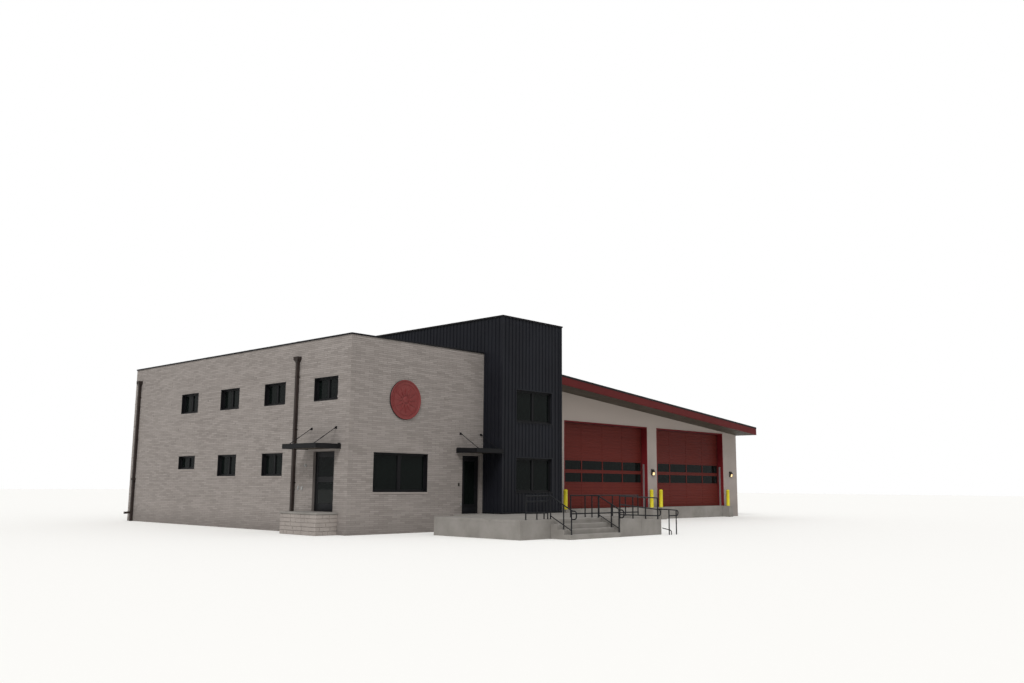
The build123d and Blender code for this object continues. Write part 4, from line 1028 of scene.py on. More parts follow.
def buildDownspouts():
    build = bmesh.new()
    stand, half, side = downspout["standoff"], downspout["pipe"] / 2, downspout["strapSide"]
    face, low = stand + downspout["pipe"], downspout["headTop"] - downspout["headHigh"]
    for along in downspout["places"]:
        span = about(along, half)
        addPlate(build, leftWall, span, (groundLevel, low + 10), (stand, face), 9)
        # Folded seam down one side of the pipe
        seam = (groundLevel + downspout["seamFoot"], low)
        addPlate(build, leftWall, (span[0] - 3, span[0] + 2), seam, (stand + 20, stand + 32), 1)
        for joint in downspout["joints"]:
            addPlate(build, leftWall, inset(span, -3), (joint, joint + downspout["jointHigh"]),
                     (stand - 3, face + 3), 8)
            for place in about(along, half * 0.5):
                addStud(build, leftWall, place, joint + downspout["jointScrew"], face + 3, 5, 4)
        addLeaderHead(build, along)
        for strap in downspout["straps"]:
            up = (strap, strap + downspout["strapWide"])
            addPlate(build, leftWall, inset(span, -6), up, (stand, face + 6), 3)
            for way, edge in zip((-1, 1), span):
                addPlate(build, leftWall, (edge, edge + way * side), up, (0.3, 5), 1)
                addPlate(build, leftWall, (edge, edge + way * 6), up, (2, face), 1)
                addStud(build, leftWall, edge + way * side * 0.62, sum(up) / 2, 5, 6, 5)
        # Shoe with a rolled mouth
        shoeLow, shoeHigh = downspout["shoe"]
        reach = face + downspout["shoeReach"]
        addProfile(build, leftWall, [(face - 4, shoeHigh), (face - 4, shoeLow + 18),
                                     (reach - 10, shoeLow), (reach - 10, shoeHigh - 18)], span, 6)
        addPlate(build, leftWall, inset(span, -4), (shoeLow - 1, shoeHigh - 12), (reach - 16, reach), 4)
    # A boot round the second pipe
    lip = downspout["bootLip"]
    addPlate(build, leftWall, about(downspout["places"][1], half + lip), downspout["boot"],
             (2, face + lip), 10)
    finishPiece(build, "downspoutPipes", "downspout_bronze", replaced=["downspouts"])


buildDownspouts()
print("downspouts ready")

# Overhead doors: ribbed sections with glazed rows, cover strips, screws and rubber seals
bayDoor = {
    "starts": (4370, 11990), "width": 6750, "height": 4124, "sections": 7, "liteRows": (2, 3),
    "columns": 4, "plane": -350.3, "thick": 50, "rise": 8, "gap": 3.5, "lap": 60, "channel": 45,
    "edge": 25, "margin": 80, "frame": 30, "ribHalf": 30, "ribSlope": 9, "ribs": 3, "stripHalf": 22,
    "seal": 9, "bulb": 17, "blade": 22, "screw": (5, 3, 6),
}


def sectionProfile(row):
    # Ribs between chamfered meeting edges and a tongue at the top, as (out, up) points
    section = bayDoor["height"] / bayDoor["sections"]
    plane, rise, half, ribs, gap = pick(bayDoor, "plane rise ribHalf ribs gap")
    slope, back = bayDoor["ribSlope"] / 2, plane - bayDoor["thick"]
    low = section * row + gap + (0.3 if row == 0 else 0)
    top = section * (row + 1) - gap + (bayDoor["lap"] if row == bayDoor["sections"] - 1 else 0)
    profile = [(back, low), (plane - 4, low), (plane, low + 4)]
    for rib in range(1, ribs + 1):
        level = section * (row + rib / (ribs + 1))
        profile += [(plane, level - half - slope), (plane + rise, level - half + slope),
                    (plane + rise, level + half - slope), (plane, level + half + slope)]
    tongue = top + gap * 1.6
    return profile + [(plane, top - 4), (plane - 4, top), (plane - 14, top), (plane - 14, tongue),
                      (plane - 36, tongue), (plane - 36, top), (back, top)]


def addDoorSections(build, start):
    plane, rise, gap, margin, columns = pick(bayDoor, "plane rise gap margin columns")
    section, deep = bayDoor["height"] / bayDoor["sections"], (plane - bayDoor["thick"], plane)
    span = inset((start, start + bayDoor["width"]), -bayDoor["lap"])
    clear = inset((start, start + bayDoor["width"]), bayDoor["channel"] + bayDoor["edge"])
    wide = (clear[1] - clear[0]) / columns
    for row in range(bayDoor["sections"]):
        if row in bayDoor["liteRows"]:
            continue
        addProfile(build, bayFront, sectionProfile(row), span)
        low, high = section * row + gap + (0.3 if row == 0 else 0), section * (row + 1) - gap
        for column in range(columns + 1):
            middle = clear[0] + wide * column
            addPlate(build, bayFront, about(middle, bayDoor["stripHalf"]), (low + 3, high - 3),
                     (plane - 1, plane + rise + 3), 2)
            for level in (low + 40, (low + high) / 2, high - 40):
                addStud(build, bayFront, middle, level, plane + rise + 3, *bayDoor["screw"])
    lites = []
    for row in bayDoor["liteRows"]:
        low, high = section * row, section * (row + 1)
        for rail in ((low + gap, low + margin), (high - margin, high - gap)):
            addPlate(build, bayFront, span, rail, deep, 3)
        posts = [about(clear[0] + wide * c, margin / 2) for c in range(1, columns)]
        posts += [(span[0], clear[0] + margin / 2), (clear[1] - margin / 2, span[1])]
        for post in posts:
            addPlate(build, bayFront, post, (low + margin, high - margin), deep, 1)
        for c in range(columns):
            pane = (clear[0] + wide * c + margin / 2, clear[0] + wide * (c + 1) - margin / 2)
            lites.append((pane, (low + margin, high - margin)))
    return lites


def buildBayDoor(name, node, start):
    build, seals = bmesh.new(), bmesh.new()
    plane, rise, frame, channel, blade = pick(bayDoor, "plane rise frame channel blade")
    for along, up in addDoorSections(build, start):
        outer = (inset(along, -frame), inset(up, -frame))
        addRim(build, bayFront, *outer, (plane - 1, plane + rise), frame, 3)
        addRim(seals, bayFront, along, up, (plane - 14, plane + 2), bayDoor["seal"], 1.5)
        left, right = inset(along, -frame / 2)
        for u in (left, sum(along) / 2, right):
            for v in inset(up, -frame / 2):
                addStud(build, bayFront, u, v, plane + rise, *bayDoor["screw"])
    finishPiece(build, name + "Sections", "bay_door_red", replaced=[node])
    # Rubber: a bulb under the lowest section and blades along the jambs and the head
    bulb = bayDoor["bulb"]
    middle = plane - bayDoor["thick"] + 6 + bulb
    ring = [(middle + bulb * math.cos(t), 1 + bulb + bulb * math.sin(t))
            for t in (math.tau * k / 16 for k in range(16))]
    doorway = (start, start + bayDoor["width"])
    addProfile(seals, bayFront, ring, inset(doorway, 2))
    inner, top = inset(doorway, channel), bayDoor["height"] - channel
    blades = [(side, (6, top)) for side in edgesOf(inner, blade)] + [(inner, (top - blade, top))]
    for side, up in blades:
        addPlate(seals, bayFront, side, up, (plane + rise + 1, plane + rise + 6), 1)
    finishPiece(seals, name + "Seals", "rail_steel")


for doorSide, doorStart in zip(("left", "right"), bayDoor["starts"]):
    buildBayDoor(doorSide + "BayDoor", "bay_door_" + doorSide, doorStart)

# Steel channels round the bay doorways: rounded edges, and bolts through the reveal
bayFrame = {"channel": 45, "proud": 12, "depth": 350, "boltPitch": 640, "boltStart": 260, "boltIn": 60,
            "bolt": 9}


def buildBayFrames():
    build = bmesh.new()
    channel, proud, depth, pitch, size = pick(bayFrame, "channel proud depth boltPitch bolt")
    head, out = bayDoor["height"], (-depth, proud)
    for start in bayDoor["starts"]:
        end = start + bayDoor["width"]
        for edge, way in ((start, 1), (end, -1)):
            addPlate(build, bayFront, (edge, edge + channel * way), (0, head), out, 3)
            for k in range(int(head / pitch)):
                bolt = seatOn(bayFront, edge + channel * way, bayFrame["boltStart"] + pitch * k,
                              -bayFrame["boltIn"])
                addTurned(build, [(0, -1), (size, -1), (size, size * 0.6), (0, size * 0.8)],
                          bolt @ Matrix.Rotation(math.pi / 2 * way, 4, "Y"), 6)
        addPlate(build, bayFront, inset((start, end), channel - 1), (head - channel, head), out, 3)
        # Drip over the head
        drip = [(-2, head + 8), (-2, head), (proud + 10, head - 5), (proud + 10, head - 14),
                (proud + 13, head - 14), (proud + 13, head - 1)]
        addProfile(build, bayFront, drip, inset((start, end), -10))
    finishPiece(build, "bayFrameChannels", "door_frame_red", replaced=["bay_door_frames"])


buildBayFrames()

# Galvanised guards on the right jamb of each doorway: folded angles on five bolts
jambGuard = {"height": 2200, "back": 150, "flange": 40, "web": 110, "thick": 8, "bolts": 5}


def buildJambGuards():
    build = bmesh.new()
    high, flange, web, thick, back = pick(jambGuard, "height flange web thick back")
    for start in bayDoor["starts"]:
        edge = start + bayDoor["width"] - bayFrame["channel"] - 0.3
        addPlate(build, bayFront, (edge - flange, edge), (0.3, high), (-back - thick, -back), 2.5)
        addPlate(build, bayFront, (edge - thick, edge), (0.3, high), (-back - web, -back - 1), 2.5)
        for k in range(jambGuard["bolts"]):
            level = high * (k + 0.5) / jambGuard["bolts"]
            seat = seatOn(bayFront, edge - thick, level, -back - web * 0.6)
            addTurned(build, [(0, -1), (11, -1), (11, 4), (7, 8), (0, 9)],
                      seat @ Matrix.Rotation(-math.pi / 2, 4, "Y"), 8)
    finishPiece(build, "jambGuardAngles", "pale_steel", replaced=["jamb_guards"])


buildJambGuards()

# Wall lights: cast housings with a sloping, finned hood over a frosted lens
wallLight = {"half": 100, "height": 310, "out": 120, "low": 1640, "shoulder": 186, "cheek": 10,
             "lines": (11555, 19515), "lensInset": 11, "lensTop": 150, "fins": 5, "finPitch": 18}


def buildWallLights():
    build, lens = bmesh.new(), bmesh.new()
    low, out, cheek = wallLight["low"], wallLight["out"], wallLight["cheek"]
    high, shoulder, top = (low + up for up in pick(wallLight, "height shoulder lensTop"))
    hood = [(12, high), (out / 2, high), (out, shoulder), (out, top), (12, top)]
    side = [(10, low), (out * 0.72, low), (out, top), (out, top + 12), (10, top + 12)]
    glow = [(14, low + 11), (out * 0.7, low + 11), (out - 7, top + 2), (14, top + 2)]
    for line in wallLight["lines"]:
        span = about(line, wallLight["half"])
        addProfile(build, bayFront, hood, span, 5)
        addPlate(build, bayFront, inset(span, 6), (low + 4, high - 4), (0.3, 14), 4)
        for end in edgesOf(span, cheek):
            addProfile(build, bayFront, side, end, 2)
        addPlate(build, bayFront, span, (low, low + 12), (10, out * 0.74), 3)
        for k in range(wallLight["fins"]):
            level = high - 20 - k * wallLight["finPitch"]
            addPlate(build, bayFront, inset(span, 26), about(level, 3),
                     (out / 2 - 14, out / 2 + (k + 0.6) * 11), 1)
        addProfile(lens, bayFront, glow, inset(span, wallLight["lensInset"]), 4)
    finishPiece(build, "wallLightHousings", "lamp_housing", replaced=["wall_lights"])
    finishPiece(lens, "wallLightLenses", "lamp_housing", material=frostedLens)


buildWallLights()
print("bay doors and lights ready")


def onSlope(outline):
    # An outline of (along, up) points, set on the sloping underside of the bays' roof
    return [(u, underside(u) + v) for u, v in outline]


def buildRoofSeams():
    build = bmesh.new()
    side, depth, thick = pick(bayRoof, "side depth fascia")
    low, high = 2, baysWide + side - thick - 4
    reach, front = (grid["rearY"] - grid["bayY"]) / mm + side - thick, bayRoof["front"] - thick
    count = round((reach + front) / bayRoof["seam"])
    seam = onSlope(rectangle((low, high), (depth - 2, depth + bayRoof["seamHigh"])))
    for k in range(count):
        out = front - (reach + front) * (k + 0.5) / count
        addPrism(build, bayFront, seam, about(out, bayRoof["seamHalf"]), 2.5)
    # Flashing where the sheet meets the tower
    wide, tall = bayRoof["flashing"], bayRoof["flashingHigh"]
    wall = [(low - 2, -2), (low + wide, -2), (low + wide, 6), (low + 10, 12), (low + 10, tall),
            (low - 2, tall)]
    addPrism(build, bayFront, onSlope([(u, depth + v) for u, v in wall]), (400 - reach, -20))
    finishPiece(build, "roofSeams", "bay_roofing")


def buildRoofTrims():
    # Fascia boards set back under a dark edge trim, with a pressed drip along their lower edge
    trims, fascia, boards = bmesh.new(), bmesh.new(), bmesh.new()
    depth, high, back, thick, front = pick(bayRoof, "depth trimHigh setBack fascia front")
    length, foot = baysWide + bayRoof["side"], depth - high
    rear = -(grid["rearY"] - grid["bayY"]) / mm - bayRoof["side"]
    line = [bayFront @ (Vector((u, underside(u), w)) * mm) for u, w in
            ((0.5, front), (length, front), (length, rear), (0.5, rear))]
    addMitred(fascia, line, [(-thick, 0), (0, 0), (0, 12), (-back, 18), (-back, foot + 4),
                             (-thick, foot + 4)])
    addMitred(trims, line, [
        (-60, depth - 6), (-back - 2, depth - 6), (-back - 2, foot + 6), (0, foot), (0, foot + 3),
        (-4, foot + 7), (-4, depth - 4), (0, depth), (-3, depth + 6), (-60, depth + 6)])
    finishPiece(trims, "roofEdgeTrim", "dark_metal")
    count = round(length / bayRoof["joint"])
    for k in range(1, count):
        joint = rectangle(about(length * k / count, bayRoof["jointHalf"]), (20, foot))
        addPrism(fascia, bayFront, onSlope(joint), (front - back - 1, front - back + 2.5), 0.8)
    finishPiece(fascia, "fasciaBoards", "fascia_red", replaced=["bay_fascia"])
    board = bayRoof["board"]
    for k in range(int((length - thick) / board)):
        span = (1 + k * board, (k + 1) * board - bayRoof["groove"])
        addPrism(boards, bayFront, onSlope(rectangle(span, (0, bayRoof["soffit"]))),
                 (1, front - thick - 0.3), 2)
    finishPiece(boards, "soffitBoards", "bay_soffit_metal", replaced=["bay_soffit"])


buildRoofSeams()
buildRoofTrims()
print("bay roof ready")

# Hinged doors: leaf, lever sets, kick plate, gaskets and the hinges' moving knuckles ride on the
# leaf's body, and the frame with its seals stays. Sizes are from the hinge edge of the doorway and
# from its sill.
hingedDoor = {
    "setback": 100, "leaf": 45, "jamb": 50, "frameDeep": 120, "gap": 6, "strike": 8, "foot": 8,
    "stopDeep": 30, "stopFace": 15, "hinges": (220, 1010, 1800), "barrel": 9, "barrelOut": 10,
    "knuckle": 30, "tab": (2, 28, 4), "leverUp": 970, "leverIn": 70, "lever": 140, "leverRadius": 10,
    "leverOut": 62, "leverBend": 16, "plate": (60, 260, 10), "stile": 110, "topRail": 120,
    "lockRail": 160, "lockUp": 1010, "bottomRail": 260, "kick": 210, "kickThick": 1.5, "bead": 14,
    "panel": (115, 320, 130, 24), "panelScrews": 6, "screwIn": 40, "anchors": 4, "anchorUp": 240,
    "anchorIn": 12, "kickIn": 22, "kickUp": 14, "leverHook": 28, "keyhole": 110, "frameSeal": 8,
}
sideSpan, entrySpan = sideDoorway[1] - sideDoorway[0], entryDoorway[1] - entryDoorway[0]
sideDoorFrame = frameFrom((0, -1, 0), (0, 0, 1), (-1, 0, 0),
                          seatOn(leftWall, sideDoorway[1], sideDoorway[2]).translation)
entryDoorFrame = seatOn(frontWall, entryDoorway[0], 0)


def addHinge(build, door, foot, onLeaf):
    # One knuckle between two, each with its leaf plate and a screw, under a turned tip
    radius, high, out = hingedDoor["barrel"], hingedDoor["knuckle"], hingedDoor["barrelOut"]
    pivot, face = hingedDoor["jamb"] + hingedDoor["gap"] / 2, -hingedDoor["setback"]
    side, edge = 1 if onLeaf else -1, 0.8
    start, end, thick = hingedDoor["tab"]
    for low, top in [(high + 0.3, 2 * high - 0.3)] if onLeaf else [(0, high), (2 * high, 3 * high)]:
        tall = top - low
        addTurned(build, [(0, 0), (radius - edge, 0), (radius, edge), (radius, tall - edge),
                          (radius - edge, tall), (0, tall)],
                  seatOn(door, pivot, foot + low, face + out) @ upright, 20)
        addPlate(build, door, (pivot + side * start, pivot + side * end), (foot + low, foot + top),
                 (face - 0.5, face + thick), 1)
        addStud(build, door, pivot + side * (end - 7), foot + (low + top) / 2, face + thick, 4, 1.6)
    if not onLeaf:
        addTurned(build, [(0, 0), (radius * 0.7, 0), (radius * 0.8, 3), (radius * 0.5, 6), (0, 7)],
                  seatOn(door, pivot, foot + 3 * high, face + out) @ upright, 16)


def addLever(build, door, across, level, face, way):
    # Long plate with a keyhole, and a lever that leaves its neck in a curve and turns back
    wide, high, lip = hingedDoor["plate"]
    radius, middle, end = hingedDoor["leverRadius"], level - high / 4, across - hingedDoor["lever"] + 12
    ends = about(middle, high / 2)
    addPlate(build, door, about(across, wide / 2), ends, (face - way * 0.5, face + way * lip), 3)
    reach = face + way * (hingedDoor["leverOut"] - radius)
    addTube(build, door, [(across, level, face + way * lip * 0.5), (across, level, reach),
                          (end, level, reach), (end, level, reach - way * hingedDoor["leverHook"])],
            radius, hingedDoor["leverBend"], 14)
    turn = Matrix.Identity(4) if way > 0 else Matrix.Rotation(math.pi, 4, "X")
    turned = [(up, [(0, -1), (size, -1), (size, rise * 0.7), (size - 2, rise), (0, rise)], 24)
              for up, size, rise in ((level, 24, 8), (level - hingedDoor["keyhole"], 15, 9))]
    turned += [(up, [(0, -1), (5, -1), (4, 2), (0, 3)], 10) for up in (ends[1] - 14, ends[0] + 14)]
    for up, profile, steps in turned:
        addTurned(build, profile, seatOn(door, across, up, face + way * lip) @ turn, steps)


def addGlazedLeaf(leaf, fittings, door, span, low, top):
    # Stiles and rails round two panes, with beads on both faces and gaskets
    stile, bead, rise, face = pick(hingedDoor, "stile bead lockUp setback")
    face, back = -face, -face - hingedDoor["leaf"]
    lites = [(low + hingedDoor["bottomRail"], low + rise),
             (low + rise + hingedDoor["lockRail"], top - hingedDoor["topRail"])]
    rails = [(low, lites[0][0]), (lites[0][1], lites[1][0]), (lites[1][1], top)]
    pane = inset(span, stile)
    for edge in edgesOf(span, stile):
        addPlate(leaf, door, edge, (low, top), (back, face), 3)
    for rail in rails:
        addPlate(leaf, door, inset(pane, -1), rail, (back, face), 2)
    for lite in lites:
        for depth in ((face - 10, face + 2), (back - 2, back + 10)):
            addRim(leaf, door, pane, lite, depth, bead, 3)
        addRim(fittings, door, inset(pane, bead), inset(lite, bead), (face - 12, face - 5), 4, 1)


def addSlabLeaf(leaf, pane, door, span, low, top):
    # One slab, with a tall pane that lies on it in a screwed frame
    face = -hingedDoor["setback"]
    addPlate(leaf, door, span, (low, top), (face - hingedDoor["leaf"], face), 2.5)
    side, sill, head, rim = hingedDoor["panel"]
    along, up, last = inset(span, side), (low + sill, top - head), hingedDoor["panelScrews"] - 1
    edge = hingedDoor["screwIn"]
    addRim(leaf, door, along, up, (face - 1, face + 7), rim, 3)
    for u in inset(along, rim / 2):
        for k in range(last + 1):
            v = up[0] + edge + (up[1] - up[0] - 2 * edge) * k / last
            addStud(leaf, door, u, v, face + 7, 4, 2)
    addPlate(pane, door, inset(along, rim - 1), inset(up, rim - 1), (face - 1, face + 3), 1)


def buildDoorFrame(frame, seals, door, wide, high):
    # Frame with its stop, seals, hinge knuckles, threshold and anchor screws
    jamb, gap, stop, face = pick(hingedDoor, "jamb gap stopFace setback")
    face, stopFront = -face, -face - hingedDoor["leaf"] - gap
    deep, clear, head = face - hingedDoor["frameDeep"], (jamb, wide - jamb), high - jamb
    depth = (stopFront - hingedDoor["stopDeep"], stopFront)
    for edge in edgesOf((0, wide), jamb):
        addPlate(frame, door, edge, (0, high), (deep, face), 2)
    addPlate(frame, door, inset(clear, -1), (head, high), (deep, face), 2)
    for edge in edgesOf(inset(clear, -1), stop + 1):
        addPlate(frame, door, edge, (0.3, head), depth, 1.5)
    addPlate(frame, door, clear, (head - stop, head + 1), depth, 1.5)
    for edge in edgesOf(clear, hingedDoor["frameSeal"]):
        addPlate(seals, door, edge, (10, head - 4), (stopFront - 1, stopFront + 4), 1.5)
    addProfile(seals, door, [(deep, 0.3), (face, 0.3), (face, 3), (face - 12, 6), (deep + 12, 6),
                             (deep, 3)], inset(clear, 1))
    for hinge in hingedDoor["hinges"]:
        addHinge(frame, door, hinge, False)
    last, foot = hingedDoor["anchors"] - 1, hingedDoor["anchorUp"]
    for side in inset((0, wide), hingedDoor["anchorIn"]):
        for k in range(last + 1):
            addStud(frame, door, side, foot + (high - 2 * foot) * k / last, face, 5, 2)


def buildHingedDoor(name, body, door, wide, high, glazed, leafNode):
    jamb, gap, low, kick = pick(hingedDoor, "jamb gap foot kick")
    face, top, lift = -hingedDoor["setback"], high - jamb - gap, hingedDoor["kickThick"]
    span = (jamb + gap, wide - jamb - hingedDoor["strike"])
    leaf, fittings, pane, frame, seals = (bmesh.new() for _ in range(5))
    if glazed:
        addGlazedLeaf(leaf, fittings, door, span, low, top)
        pane.free()
    else:
        addSlabLeaf(leaf, pane, door, span, low, top)
        finishPiece(pane, name + "Pane", "window_glass", body)
    plate, foot = inset(span, hingedDoor["kickIn"]), low + hingedDoor["kickUp"]
    addPlate(fittings, door, plate, (foot, foot + kick), (face - 0.5, face + lift), 0.6)
    for u in (plate[0] + 10, sum(plate) / 2, plate[1] - 10):
        for v in (foot + 10, foot + kick - 10):
            addStud(fittings, door, u, v, face + lift, 4, 1.5)
    for side, way in ((face, 1), (face - hingedDoor["leaf"], -1)):
        addLever(fittings, door, span[1] - hingedDoor["leverIn"], hingedDoor["leverUp"], side, way)
    for hinge in hingedDoor["hinges"]:
        addHinge(fittings, door, hinge, True)
    finishPiece(leaf, name + "Leaf", "door_leaf", body, [leafNode])
    finishPiece(fittings, name + "Fittings", "rail_steel", body, smooth=40)
    buildDoorFrame(frame, seals, door, wide, high)
    finishPiece(frame, name + "Frame", "dark_metal", replaced=[leafNode + "_frame"])
    finishPiece(seals, name + "Seals", "rail_steel")


buildHingedDoor("entryDoor", "entry_leaf", entryDoorFrame, entrySpan, entryDoorway[3], False,
                "entry_door")
buildHingedDoor("sideDoor", "side_leaf", sideDoorFrame, sideSpan, sideDoorway[3] - sideDoorway[2],
                True, "side_door")
print("hinged doors ready")

# Landing, steps and ramp: cast slabs with tooled joints and rounded nosings over solid bases
paving = {"slab": 90, "joint": 8, "edge": 7, "panel": 1500, "nosing": 12, "drop": 0.3,
          "walkStart": 4907, "walk": 1600, "grooves": 3, "groovePitch": 16, "grooveIn": 60,
          "coreIn": 20, "sillDeep": 350, "padHalf": 200, "padOut": 460, "padTop": -5}


def addSlabs(build, along, out, top):
    # A field of slabs over one rectangle of the front wall's frame
    fields = []
    for span in (along, out):
        count = max(1, round((span[1] - span[0]) / paving["panel"]))
        step, half = (span[1] - span[0]) / count, paving["joint"] / 2
        fields.append([(span[0] + step * k + (half if k else 0),
                        span[0] + step * (k + 1) - (half if k < count - 1 else 0))
                       for k in range(count)])
    for across in fields[0]:
        for deep in fields[1]:
            addPlate(build, frontWall, across, (top - paving["slab"], top), deep, paving["edge"])


def buildLanding():
    build = bmesh.new()
    top, right, edge = -paving["drop"], railing["steps"][1], railing["landingEdge"]
    back, tower = railing["rampEdge"] - railing["rampWidth"], (grid["frontY"] - grid["towerY"]) / mm
    start, walk, bay = paving["walkStart"], paving["walk"], officeWidth + towerWide
    for along, out in (((railing["landingLeft"], right), (walk, edge)), ((start, right), (tower, walk)),
                       ((right, bay), (tower, back)), ((start, officeWidth), (0, tower))):
        addSlabs(build, along, out, top)
        addPlate(build, frontWall, inset(along, 4), (groundLevel, top - paving["slab"] + 14),
                 (out[0] + 4 if out[0] else 0, out[1] - 4))
    finishPiece(build, "landingSlabs", "concrete", replaced=["landing"])


def buildSteps():
    build = bmesh.new()
    tread, riser, nosing = railing["tread"], railing["riser"], paving["nosing"]
    for step in range(1, 4):
        out, top = railing["landingEdge"] + tread * step, -riser * step
        arc = [(out - nosing + nosing * math.sin(t), top - nosing + nosing * math.cos(t))
               for t in (math.pi / 2 * k / 5 for k in range(6))]
        grooves = []
        for k in range(paving["grooves"]):
            place = out - paving["grooveIn"] - paving["groovePitch"] * k
            grooves += [(place + 5, top), (place + 4, top - 3), (place - 4, top - 3), (place - 5, top)]
        back = out - tread + 0.3
        profile = [(back, groundLevel), (back, top), *grooves[::-1], *arc, (out, groundLevel)]
        addProfile(build, frontWall, profile, railing["steps"])
    finishPiece(build, "stepNosings", "concrete", replaced=["entry_steps"])


def buildRamp():
    # Two slabs that slope away from the landing, over a core that stays inside them
    build = bmesh.new()
    start, end, drop, under = railing["steps"][1] + 0.3, railing["rampEnd"], paving["drop"], 14
    span = (railing["rampEdge"] - railing["rampWidth"] + 0.3, railing["rampEdge"])
    slope, half, edge = railing["rampSlope"], paving["joint"] / 2, paving["coreIn"]
    middle = (start + end) / 2
    for low, high in ((start, middle - half), (middle + half, end)):
        outline = [(low, groundLevel), (high, groundLevel), (high, -drop - (high - start) * slope),
                   (low, -drop - (low - start) * slope)]
        addPrism(build, frontWall, outline, span, 6)
    low, high = start + edge, end - edge
    addPrism(build, frontWall, [(low, groundLevel), (high, groundLevel),
                                (high, -under - (end - start) * slope), (low, -under)],
             inset(span, edge))
    finishPiece(build, "rampSlabs", "concrete", replaced=["ramp"])


# Stoop at the side door: a cast cap over courses of rough stone
stoop = {"reach": 900, "along": (450, 2600), "top": 130, "cap": 60, "courses": 5, "inset": 18,
         "stone": 330, "spread": (0.6, 1.5), "least": 150, "joint": 14, "rough": 9, "core": 24,
         "seed": 17}


def buildStoop():
    cap, stones = bmesh.new(), bmesh.new()
    capLow = stoop["top"] - stoop["cap"]
    addPlate(cap, leftWall, stoop["along"], (capLow, stoop["top"]), (0.3, stoop["reach"]), 9)
    finishPiece(cap, "stoopCap", "concrete", replaced=["side_stoop"])
    draw = random.Random(stoop["seed"])
    span, reach = inset(stoop["along"], stoop["inset"]), stoop["reach"] - stoop["inset"]
    core = stoop["core"]
    addPlate(stones, leftWall, inset(span, core), (groundLevel, capLow), (0.3, reach - core))
    course = (capLow - groundLevel) / stoop["courses"]
    faces = [(seatOn(leftWall, 0, 0, reach), *span)]
    for place, way in zip(span, (-1, 1)):
        corner = seatOn(leftWall, place, 0).translation
        faces.append((frameFrom((-1, 0, 0), (0, 0, 1), (0, way, 0), corner), 0.3, reach))
    for face, start, end in faces:
        for row in range(stoop["courses"]):
            low, place = groundLevel + row * course, start
            while end - place > 1:
                length = stoop["stone"] * draw.uniform(*stoop["spread"])
                stop = end if end - place - length < stoop["least"] else place + length
                rough, joint = draw.uniform(0, stoop["rough"]), stoop["joint"] / 2
                addPlate(stones, face, inset((place, stop), joint), inset((low, low + course), joint),
                         (-60, -rough), 7)
                place = stop
    finishPiece(stones, "stoopStones", "sill_stone")


# Sills of the bay doorways and the pads before them
def buildBaySills():
    build = bmesh.new()
    for start in bayDoor["starts"]:
        addPlate(build, bayFront, (start, start + bayDoor["width"]), (groundLevel, 0),
                 (-paving["sillDeep"], 0), 8)
    for line in bollard["lines"]:
        addPlate(build, bayFront, about(line, paving["padHalf"]), (groundLevel, paving["padTop"]),
                 (0, paving["padOut"]), 10)
    finishPiece(build, "baySillSlabs", "concrete", replaced=["bay_sills"])


buildLanding()
buildSteps()
buildRamp()
buildStoop()
buildBaySills()
print("concrete ready")

# Small fittings by the doors: a sensor, two outlets under covers, an entry reader and a bell push
fitting = {"sensor": (2423, 1718), "sensorRadius": 48, "outlets": ((2605, 932), (2830, 932)),
           "outlet": (80, 125, 34), "reader": (5165, 1095), "readerSize": (72, 118, 24),
           "push": (5292, 344), "pushSize": (62, 92, 26)}


def buildFittings():
    dark, pale = bmesh.new(), bmesh.new()
    r = fitting["sensorRadius"]
    addTurned(pale, [(0, 1), (r, 1), (r, 14), (r * 0.86, 22), (r * 0.8, 46), (r * 0.5, 62), (0, 68)],
              seatOn(leftWall, *fitting["sensor"]), 28)
    wide, high, out = fitting["outlet"]
    for along, up in fitting["outlets"]:
        addPlate(pale, leftWall, about(along, wide / 2), about(up, high / 2), (1, out), 6)
        addPlate(pale, leftWall, about(along, wide / 2 + 4), about(up, high / 2 + 4), (1, 10), 3)
    for build, name in ((dark, "reader"), (pale, "push")):
        (along, up), (wide, high, out) = fitting[name], fitting[name + "Size"]
        addPlate(build, frontWall, about(along, wide / 2), about(up, high / 2), (1, out), 6)
        addPlate(build, frontWall, about(along, wide / 3), (up - high / 6, up + high / 3),
                 (out - 2, out + 3), 2)
    finishPiece(dark, "entryReader", "lamp_housing", smooth=40)
    finishPiece(pale, "wallFittings", "pale_steel", smooth=40)


buildFittings()

# Flat roofs: lapped sheets, drains and the upstand at the parapets
flatRoof = {"officeTop": 5800, "towerTop": 7190, "sheet": 1500, "lap": 60, "drain": 150,
            "upstand": 260, "upstandThick": 9, "parapet": 350, "towerParapet": 250,
            "towerFront": -1030, "drains": (0.25, 0.75)}


